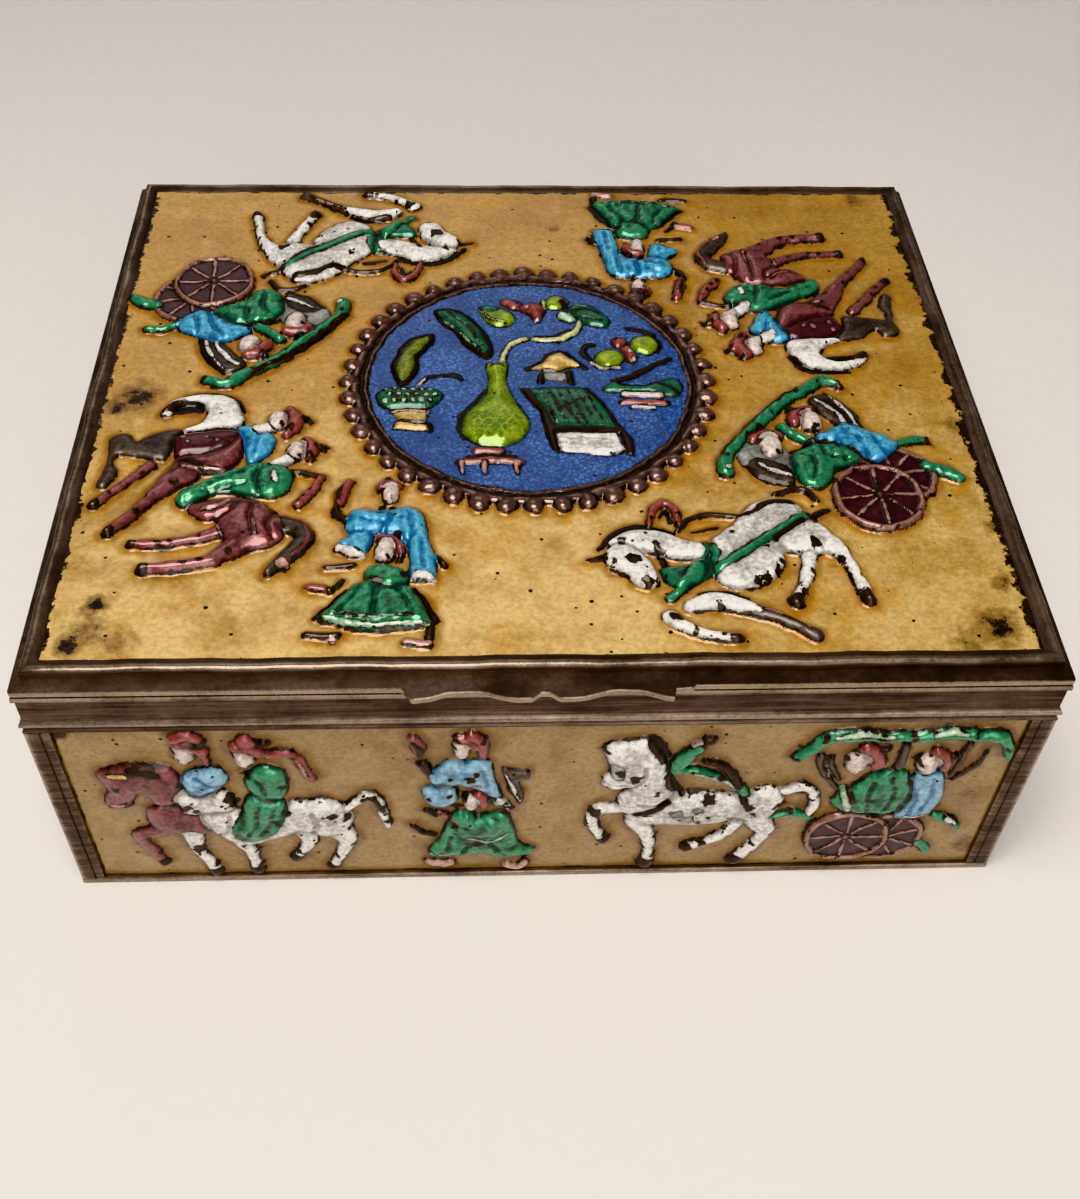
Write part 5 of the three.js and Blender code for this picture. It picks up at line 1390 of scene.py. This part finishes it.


# For each paint: colour in hollows (painted shade, partly deeper enamel), colour on crests (painted
# highlight, partly thinner enamel), metallic, roughness and share of chips
LOOKS = {
    "white": (rgb(0.30, 0.27, 0.245), rgb(0.70, 0.67, 0.63), 0.0, 0.30, 0.95),
    "green": (rgb(0.004, 0.034, 0.018), rgb(0.050, 0.25, 0.125), 0.45, 0.24, 0.55),
    "blue": (rgb(0.006, 0.11, 0.28), rgb(0.10, 0.40, 0.60), 0.35, 0.24, 0.35),
    "maroon": (rgb(0.060, 0.016, 0.019), rgb(0.27, 0.10, 0.10), 0.55, 0.28, 0.40),
    "red": (rgb(0.070, 0.010, 0.011), rgb(0.27, 0.070, 0.062), 0.20, 0.28, 0.80),
    "lime": (rgb(0.085, 0.16, 0.006), rgb(0.28, 0.37, 0.03), 0.40, 0.22, 0.20),
    "gold": (rgb(0.42, 0.24, 0.04), rgb(0.66, 0.48, 0.18), 0.40, 0.26, 0.35),
    "black": (rgb(0.010, 0.007, 0.006), rgb(0.045, 0.026, 0.018), 0.85, 0.38, 0.0),
    "copper": (rgb(0.035, 0.018, 0.016), rgb(0.26, 0.16, 0.13), 0.80, 0.28, 0.60),
    "cobalt": (rgb(0.009, 0.038, 0.16), rgb(0.075, 0.18, 0.48), 0.20, 0.32, 0.10),
    "deep": (rgb(0.003, 0.034, 0.018), rgb(0.025, 0.15, 0.075), 0.40, 0.22, 0.35),
    "wine": (rgb(0.026, 0.006, 0.009), rgb(0.080, 0.020, 0.026), 0.40, 0.26, 0.10),
    "flesh": (rgb(0.25, 0.175, 0.155), rgb(0.58, 0.48, 0.43), 0.0, 0.30, 0.80),
    "bare": (rgb(0.018, 0.013, 0.010), rgb(0.11, 0.082, 0.066), 0.75, 0.42, 0.35),
    "pink": (rgb(0.20, 0.075, 0.066), rgb(0.50, 0.29, 0.25), 0.20, 0.28, 0.60),
    "mint": (rgb(0.12, 0.27, 0.15), rgb(0.42, 0.56, 0.40), 0.10, 0.26, 0.40),
    "grey": (rgb(0.13, 0.14, 0.12), rgb(0.32, 0.32, 0.29), 0.05, 0.34, 0.70),
    "olive": (rgb(0.06, 0.085, 0.008), rgb(0.19, 0.23, 0.03), 0.30, 0.26, 0.30),
    "pale": (rgb(0.30, 0.31, 0.10), rgb(0.56, 0.54, 0.24), 0.10, 0.26, 0.35),
    "sky": (rgb(0.05, 0.15, 0.25), rgb(0.22, 0.40, 0.51), 0.10, 0.28, 0.60),
    "rust": (rgb(0.045, 0.018, 0.015), rgb(0.36, 0.19, 0.15), 0.50, 0.32, 1.20),
    "bead": (rgb(0.022, 0.012, 0.012), rgb(0.22, 0.135, 0.115), 0.80, 0.24, 0.40),
}


# The ground's metallic, roughness and share of chips, and the metres of depth over which it is painted paler
# toward the front, a painted lighting gradient
GROUND_FINISH = (0.22, 0.27, 0.0)
FRONT_LIGHT_FROM = 0.030
FRONT_LIGHT_TO = -0.045

# Stippling of the medallion and pits of the enamel, in millimetres, and the clear glaze over all
STIPPLE_SIZE = 0.46
PIT_SPACING = 1.7
GLAZE = 0.40
GLAZE_ROUGHNESS = 0.09


def enamel(name, ground, ground_dark, ground_pale_and_lit, amber):
    """Glassy paints in zones, with dark outlines, pooled edges, chips, pits, stains and torn borders; painted
    light and shade on crests and hollows, at the figures' feet and edges, and paler toward the front of the
    ground.
    """
    sh = Shader(name)
    fine = sh.noise(0.55, 4.0, 0.65)
    blotch = sh.noise(15.0, 4.0, 0.6)
    drift = sh.noise(2.2, 3.0, 0.6)
    streaks = sh.noise(1.0, 3.0, 0.6, stretch=(0.12, 1.0, 1.0))
    stain = sh.attribute("stain")
    fields = []
    for group in range(PAINT_GROUPS):
        split = sh.node("ShaderNodeSeparateXYZ", {0: sh.attribute(f"paint_{group}", "Vector")})
        fields += [split.outputs[n] for n in range(3)]

    # Ground: painted paler toward the front as a painted light gradient, cloudy and faintly brushed, with
    # amber pooled round the figures and painted shade at their foot
    depth = sh.node("ShaderNodeSeparateXYZ", {0: sh.place}).outputs[1]
    front_light = sh.ramp(depth, FRONT_LIGHT_FROM, FRONT_LIGHT_TO, 0.0, 0.75)
    cloudy = sh.noise(6.0, 4.0, 0.6)
    colour = sh.mix(sh.ramp(blotch, 0.36, 0.62), ground_dark, ground)
    # The pale colour comes in with the painted front light and with the clouds
    paler = sh.math("ADD", front_light, sh.math("MULTIPLY_ADD", cloudy, 2.2, -1.15))
    colour = sh.mix(sh.ramp(paler, 0.0, 1.0), colour, ground_pale_and_lit)
    pool = sh.math("MULTIPLY_ADD", sh.noise(5.0, 4.0, 0.6), 11.0, sh.math("SUBTRACT", fields[0], 4.6))
    colour = sh.mix(sh.ramp(pool, -0.4, 2.4, 0.9, 0.0), colour, amber)
    colour = sh.mix(sh.ramp(sh.noise(10.0, 4.0, 0.6), 0.54, 0.70, 0.0, 0.55), colour, amber)
    # Darker brown right at the foot of each figure: partly pooled enamel, partly painted shade
    foot_pool_and_shade = sh.ramp(sh.math("MULTIPLY_ADD", drift, -1.8, fields[0]), -0.9, 0.2, 0.7, 0.0)
    colour = sh.tint(foot_pool_and_shade, colour, rgb(0.46, 0.29, 0.14))
    colour = sh.tint(1.0, colour, sh.ramp(streaks, 0.30, 0.70, 0.96, 1.04))
    colour = sh.tint(1.0, colour, sh.ramp(fine, 0.30, 0.70, 0.80, 1.20))

    # Paints: each zone shows where its field is the largest
    cells = sh.node("ShaderNodeTexVoronoi", {"Vector": sh.place, "Scale": 1.0 / (STIPPLE_SIZE * MM)})
    stipple = sh.math("MULTIPLY", sh.ramp(cells.outputs["Distance"], 0.12, 0.62, 1.0, 0.15),
                      sh.ramp(cloudy, 0.34, 0.66, 0.25, 1.0))
    # Crests painted lighter and hollows darker, mixed with drifting tone: painted highlight and painted
    # shade, partly the enamel's depth
    crest_light_and_drift = sh.ramp(sh.math("MULTIPLY_ADD", sh.attribute("crest"), 0.42, drift), 0.22, 0.86)
    metallic, roughness, chip_share = GROUND_FINISH
    best = fields[0]
    second = -FIELD_REACH
    for paint, field in zip(PAINTS[1:], fields[1:]):
        shaded_hollow_colour, lit_crest_colour, metal, rough, chips = LOOKS[paint]
        wins = sh.math("GREATER_THAN", field, best)
        shade = sh.mix(stipple if paint == "cobalt" else crest_light_and_drift, shaded_hollow_colour, lit_crest_colour)
        colour = sh.mix(wins, colour, shade)
        metallic = sh.blend(wins, metallic, metal)
        roughness = sh.blend(wins, roughness, rough)
        chip_share = sh.blend(wins, chip_share, chips)
        second = sh.math("MAXIMUM", second, sh.math("MINIMUM", best, field))
        best = sh.math("MAXIMUM", best, field)
    gap = sh.math("SUBTRACT", best, second)
    on_figure = sh.math("GREATER_THAN", best, sh.math("ADD", fields[0], 0.001))
    # Painted shade: each figure is darkened toward its edges, where its rounded form turns from the light
    edge_shade = sh.math("MULTIPLY", on_figure, sh.ramp(gap, 0.0, 0.9, 0.55, 0.0))
    colour = sh.tint(edge_shade, colour, rgb(0.36, 0.33, 0.31))
    colour = sh.tint(on_figure, colour, sh.ramp(fine, 0.30, 0.70, 0.66, 1.26))

    # Wear: broken outlines, chips, pits, torn borders and stains show dark metal
    wander = sh.math("MULTIPLY_ADD", sh.noise(1.6, 4.0, 0.7), 2.0, -1.0)
    outline = sh.ramp(sh.math("ADD", gap, wander), 0.02, 0.20, 1.0, 0.0)
    near_edge = sh.ramp(gap, 0.2, 1.6, 1.0, 0.0)
    chip_limit = sh.math("MULTIPLY", chip_share, sh.math("MULTIPLY_ADD", near_edge, -0.11, -0.09))
    chipped = sh.math("SUBTRACT", sh.noise(1.5, 3.0, 0.62), sh.math("ADD", chip_limit, 0.79))
    chipped = sh.ramp(chipped, 0.0, 0.02)
    pit_cells = sh.node("ShaderNodeTexVoronoi", {"Vector": sh.place, "Scale": 1.0 / (PIT_SPACING * MM)})
    pit_kept = sh.node("ShaderNodeSeparateColor", {0: pit_cells.outputs["Color"]}).outputs[0]
    pit_size = sh.ramp(pit_kept, 0.40, 1.0, 0.0, 0.15)
    pitted = sh.ramp(sh.math("SUBTRACT", pit_cells.outputs["Distance"], pit_size), -0.02, 0.02, 1.0, 0.0)
    tatters = sh.math("MULTIPLY_ADD", sh.noise(2.4, 5.0, 0.7), 3.2, -1.6)
    ragged = sh.math("ADD", sh.attribute("margin"), tatters)
    torn = sh.ramp(ragged, 0.85, 1.0, 1.0, 0.0)
    spoiled = sh.math("ADD", stain, sh.math("MULTIPLY_ADD", sh.noise(1.3, 5.0, 0.75), 1.1, -0.55))
    colour = sh.tint(sh.ramp(spoiled, 0.15, 0.60), colour, rgb(0.42, 0.36, 0.25))
    spoiled = sh.ramp(spoiled, 0.58, 0.70)
    lost = outline
    for loss in (chipped, pitted, torn, spoiled):
        lost = sh.math("MAXIMUM", lost, loss)
    bare = sh.mix(sh.ramp(fine, 0.35, 0.70), rgb(0.008, 0.006, 0.005), rgb(0.060, 0.036, 0.022))
    sh.feed(sh.bsdf.inputs["Base Color"], sh.mix(lost, colour, bare))
    sh.feed(sh.bsdf.inputs["Metallic"], sh.blend(lost, metallic, 0.85))
    worn = sh.ramp(blotch, 0.35, 0.75, 0.0, 0.12)
    sh.feed(sh.bsdf.inputs["Roughness"], sh.blend(lost, sh.math("ADD", roughness, worn), 0.42))
    sh.bsdf.inputs["Coat Weight"].default_value = GLAZE
    sh.bsdf.inputs["Coat Roughness"].default_value = GLAZE_ROUGHNESS
    normal = sh.bump(sh.noise(0.7, 2.0, 0.5), 0.07, 0.40)
    normal = sh.bump(streaks, 0.05, 0.15, normal)
    normal = sh.bump(sh.math("MULTIPLY", lost, -1.0), 0.10, 0.6, normal)
    sh.feed(sh.bsdf.inputs["Normal"], normal)
    return sh.material


def aged_metal(name, dark, brown, bright, polish):
    """Dark patina that is rubbed to brass on the edges, with fine scratches."""
    sh = Shader(name)
    wear = sh.attribute("wear")
    cloud = sh.noise(7.0, 6.0, 0.7)
    fine = sh.noise(0.6, 5.0, 0.7)
    drawn = sh.noise(0.45, 4.0, 0.65, stretch=(0.035, 0.035, 1.0))
    base = sh.mix(sh.ramp(cloud, 0.35, 0.65, 0.0, 0.7), dark, brown)
    base = sh.mix(sh.ramp(drawn, 0.44, 0.66, 0.0, 0.9), base, brown)
    base = sh.mix(sh.ramp(drawn, 0.30, 0.46, 0.9, 0.0), base, dark)
    base = sh.mix(sh.ramp(fine, 0.54, 0.66, 0.0, 0.6), base, dark)
    rubbed = sh.math("ADD", wear, sh.math("MULTIPLY_ADD", cloud, 0.8, -0.45))
    rubbed = sh.math("ADD", rubbed, sh.math("MULTIPLY_ADD", fine, 0.7, -0.35))
    rubbed = sh.math("ADD", rubbed, sh.math("MULTIPLY_ADD", drawn, 0.5, -0.25))
    shine = sh.ramp(rubbed, 0.40, 1.15)
    base = sh.mix(sh.math("MULTIPLY", shine, polish), base, bright)
    sh.feed(sh.bsdf.inputs["Base Color"], base)
    sh.bsdf.inputs["Metallic"].default_value = 0.9
    sh.feed(sh.bsdf.inputs["Roughness"], sh.math("ADD", sh.ramp(shine, 0.0, 1.0, 0.40, 0.24),
                                                 sh.ramp(fine, 0.3, 0.8, -0.06, 0.12)))
    normal = sh.bump(cloud, 0.12, 0.25)
    normal = sh.bump(fine, 0.06, 0.40, normal)
    normal = sh.bump(drawn, 0.04, 0.45, normal)
    sh.feed(sh.bsdf.inputs["Normal"], normal)
    return sh.material


def pale_floor():
    sh = Shader("floor_paper")
    grain = sh.noise(2.0, 4.0, 0.6)
    tone = sh.mix(grain, rgb(0.72, 0.68, 0.65), rgb(0.78, 0.74, 0.71))
    sh.feed(sh.bsdf.inputs["Base Color"], tone)
    sh.bsdf.inputs["Roughness"].default_value = 0.8
    return sh.material


# Pieces of the object

# Lost enamel: widths along the left, right, low and high edge, then stains as place, radius and depth
LID_TORN = (1.2, 1.6, 0.7, 1.0)
SIDE_TORN = (0.5, 0.5, 0.45, 0.5)
LID_STAINS = [(-50, -1, 3.4, 0.75), (-52.5, -3, 2.4, 0.7), (-49.5, -36, 1.5, 1.0), (-51.5, -42, 1.8, 0.9),
              (-46, -41.5, 2.6, 0.55), (-50, -39.5, 3.2, 0.55), (50, -40.5, 3.0, 0.8), (46, -43, 2.6, 0.6),
              (52.5, -7, 1.6, 0.65), (53, -25, 1.4, 0.6), (52, -34, 1.8, 0.65), (4, 36, 1.1, 0.55),
              (49, 43.5, 2.0, 0.6)]
FRONT_STAINS = [(-53.4, 30.2, 1.0, 1.1), (53, 5, 2.4, 0.55), (51, 16, 1.6, 0.5)]

# How far the lid's plate reaches under its moulding
LID_TUCK = 0.25


def dress():
    """Builds each piece; a plate's row is its name, spans, step, forms, place, seed, wear and node."""
    lid_look = enamel("lid_enamel_look", rgb(0.42, 0.23, 0.052), rgb(0.34, 0.17, 0.029),
                      rgb(0.60, 0.405, 0.148), rgb(0.45, 0.215, 0.022))
    # The sides take the lid's enamel in darker ground colours: a painted-shade copy for the upright faces,
    # which get less light
    side_shaded_look = enamel("side_enamel_shaded_look", rgb(0.24, 0.144, 0.044), rgb(0.195, 0.113, 0.031),
                       rgb(0.32, 0.21, 0.082), rgb(0.22, 0.113, 0.021))
    frame_look = aged_metal("frame_look", rgb(0.040, 0.029, 0.024), rgb(0.145, 0.104, 0.086),
                            rgb(0.58, 0.46, 0.34), 0.60)
    hinge_look = aged_metal("hinge_look", rgb(0.06, 0.04, 0.02), rgb(0.20, 0.13, 0.055),
                            rgb(0.55, 0.40, 0.18), 0.8)
    half_x = WIDTH / 2 - STILE + PANEL_TUCK
    half_y = DEPTH / 2 - STILE + PANEL_TUCK
    span_v = (BOTTOM_RAIL - PANEL_TUCK, PANEL_TOP + PANEL_TUCK)
    deep_x = WIDTH / 2 - PANEL_GROUND
    deep_y = DEPTH / 2 - PANEL_GROUND
    lid_x = MOULDING_HALF_X - MOULDING_WIDTH + LID_TUCK
    lid_y = MOULDING_HALF_Y - MOULDING_WIDTH + LID_TUCK
    plates = [
        ("lid_enamel_plate", (-lid_x, lid_x), (MOULDING_SHIFT - lid_y, MOULDING_SHIFT + lid_y), 0.24,
         lid_forms(), lambda u, v, h: (u, v, LID_GROUND + h), 11, LID_TORN, LID_STAINS, "lid_panel"),
        ("front_enamel_plate", (-half_x, half_x), span_v, 0.18,
         front_forms(), lambda u, v, h: (u, -deep_y - h, v), 23, SIDE_TORN, FRONT_STAINS, "front_panel"),
        ("back_enamel_plate", (-half_x, half_x), span_v, 0.25,
         back_forms(), lambda u, v, h: (-u, deep_y + h, v), 37, SIDE_TORN, [], "back_panel"),
        ("left_enamel_plate", (-half_y, half_y), span_v, 0.25,
         side_forms(), lambda u, v, h: (-deep_x - h, -u, v), 41, SIDE_TORN, [], "left_panel"),
        ("right_enamel_plate", (-half_y, half_y), span_v, 0.25,
         side_forms(), lambda u, v, h: (deep_x + h, u, v), 53, SIDE_TORN, [], "right_panel"),
    ]
    for *plan, node in plates:
        plate = pressed_plate(*plan)
        if node == "lid_panel":
            finish_piece(plate, lid_look, "lid", node)
        else:
            finish_piece(plate, side_shaded_look, "base", node)
    finish_piece(case_piece(), frame_look, "base", "base_case")
    finish_piece(lid_frame_piece(), frame_look, "lid", "lid_frame")
    base_leaf, lid_leaf, pin = hinge_pieces()
    finish_piece(base_leaf, hinge_look, "base", "base_hinge_leaf")
    finish_piece(lid_leaf, hinge_look, "lid", "lid_hinge_leaf")
    finish_piece(pin, hinge_look, "base", "hinge_pin")


def finish_piece(obj, material, body, node):
    obj.data.materials.append(material)
    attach(obj, body)
    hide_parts(node)


# Camera, light and floor

CAMERA_AT = (-7.52, -141.2, 157.8)
CAMERA_PITCH = 48.29
CAMERA_YAW = 3.71
CAMERA_ROLL = 2.25
CAMERA_LENS = 42.82
CAMERA_SENSOR = 36.0
NEAREST_SEEN = 0.001

# Square lamps, in metres: name, place, size, power and colour
LAMPS = [
    ("key", (-0.06, -0.14, 0.44), 0.24, 2.0, (1.0, 0.96, 0.91)),
    ("sheen", (-0.12, 0.75, 0.70), 0.55, 0.8, (1.0, 0.98, 0.96)),
    ("fill", (0.10, -0.62, 0.32), 0.45, 1.8, (1.0, 0.97, 0.93)),
]
LAMP_AIM = (0.0, 0.0, 0.02)
WORLD_STRENGTH = 0.22
FLOOR_REACH = 2.0


def add_camera():
    pitch = math.radians(CAMERA_PITCH)
    yaw = math.radians(CAMERA_YAW)
    roll = math.radians(CAMERA_ROLL)
    ahead = Vector((math.sin(yaw) * math.cos(pitch), math.cos(yaw) * math.cos(pitch), -math.sin(pitch)))
    level = Vector((math.cos(yaw), -math.sin(yaw), 0.0))
    above = level.cross(ahead)
    right = level * math.cos(roll) + above * math.sin(roll)
    up = above * math.cos(roll) - level * math.sin(roll)
    data = bpy.data.cameras.new("camera")
    data.lens = CAMERA_LENS
    data.sensor_width = CAMERA_SENSOR
    data.clip_start = NEAREST_SEEN
    camera = bpy.data.objects.new("camera", data)
    turn = Matrix((right, up, -ahead)).transposed().to_4x4()
    camera.matrix_world = Matrix.Translation(Vector(CAMERA_AT) * MM) @ turn
    bpy.context.scene.collection.objects.link(camera)
    bpy.context.scene.camera = camera


def add_light(name, at, size, power, colour):
    data = bpy.data.lights.new(name, "AREA")
    data.shape = "SQUARE"
    data.size = size
    data.energy = power
    data.color = colour
    light = bpy.data.objects.new(name, data)
    light.location = at
    aim = Vector(LAMP_AIM) - Vector(at)
    light.rotation_euler = aim.to_track_quat("-Z", "Y").to_euler()
    bpy.context.scene.collection.objects.link(light)


def add_stage():
    mesh = bpy.data.meshes.new("floor")
    square = box_outline(-FLOOR_REACH, FLOOR_REACH, -FLOOR_REACH, FLOOR_REACH)
    mesh.from_pydata([(x, y, 0) for x, y in square], [], [[0, 1, 2, 3]])
    floor = link("floor", mesh)
    floor.data.materials.append(pale_floor())
    world = bpy.data.worlds.new("studio")
    world.use_nodes = True
    background = world.node_tree.nodes["Background"]
    background.inputs[0].default_value = rgb(1.0, 0.98, 0.96)
    background.inputs[1].default_value = WORLD_STRENGTH
    bpy.context.scene.world = world
    bpy.context.scene.view_settings.view_transform = "Khronos PBR Neutral"
    for lamp in LAMPS:
        add_light(*lamp)


dress()
add_camera()
add_stage()
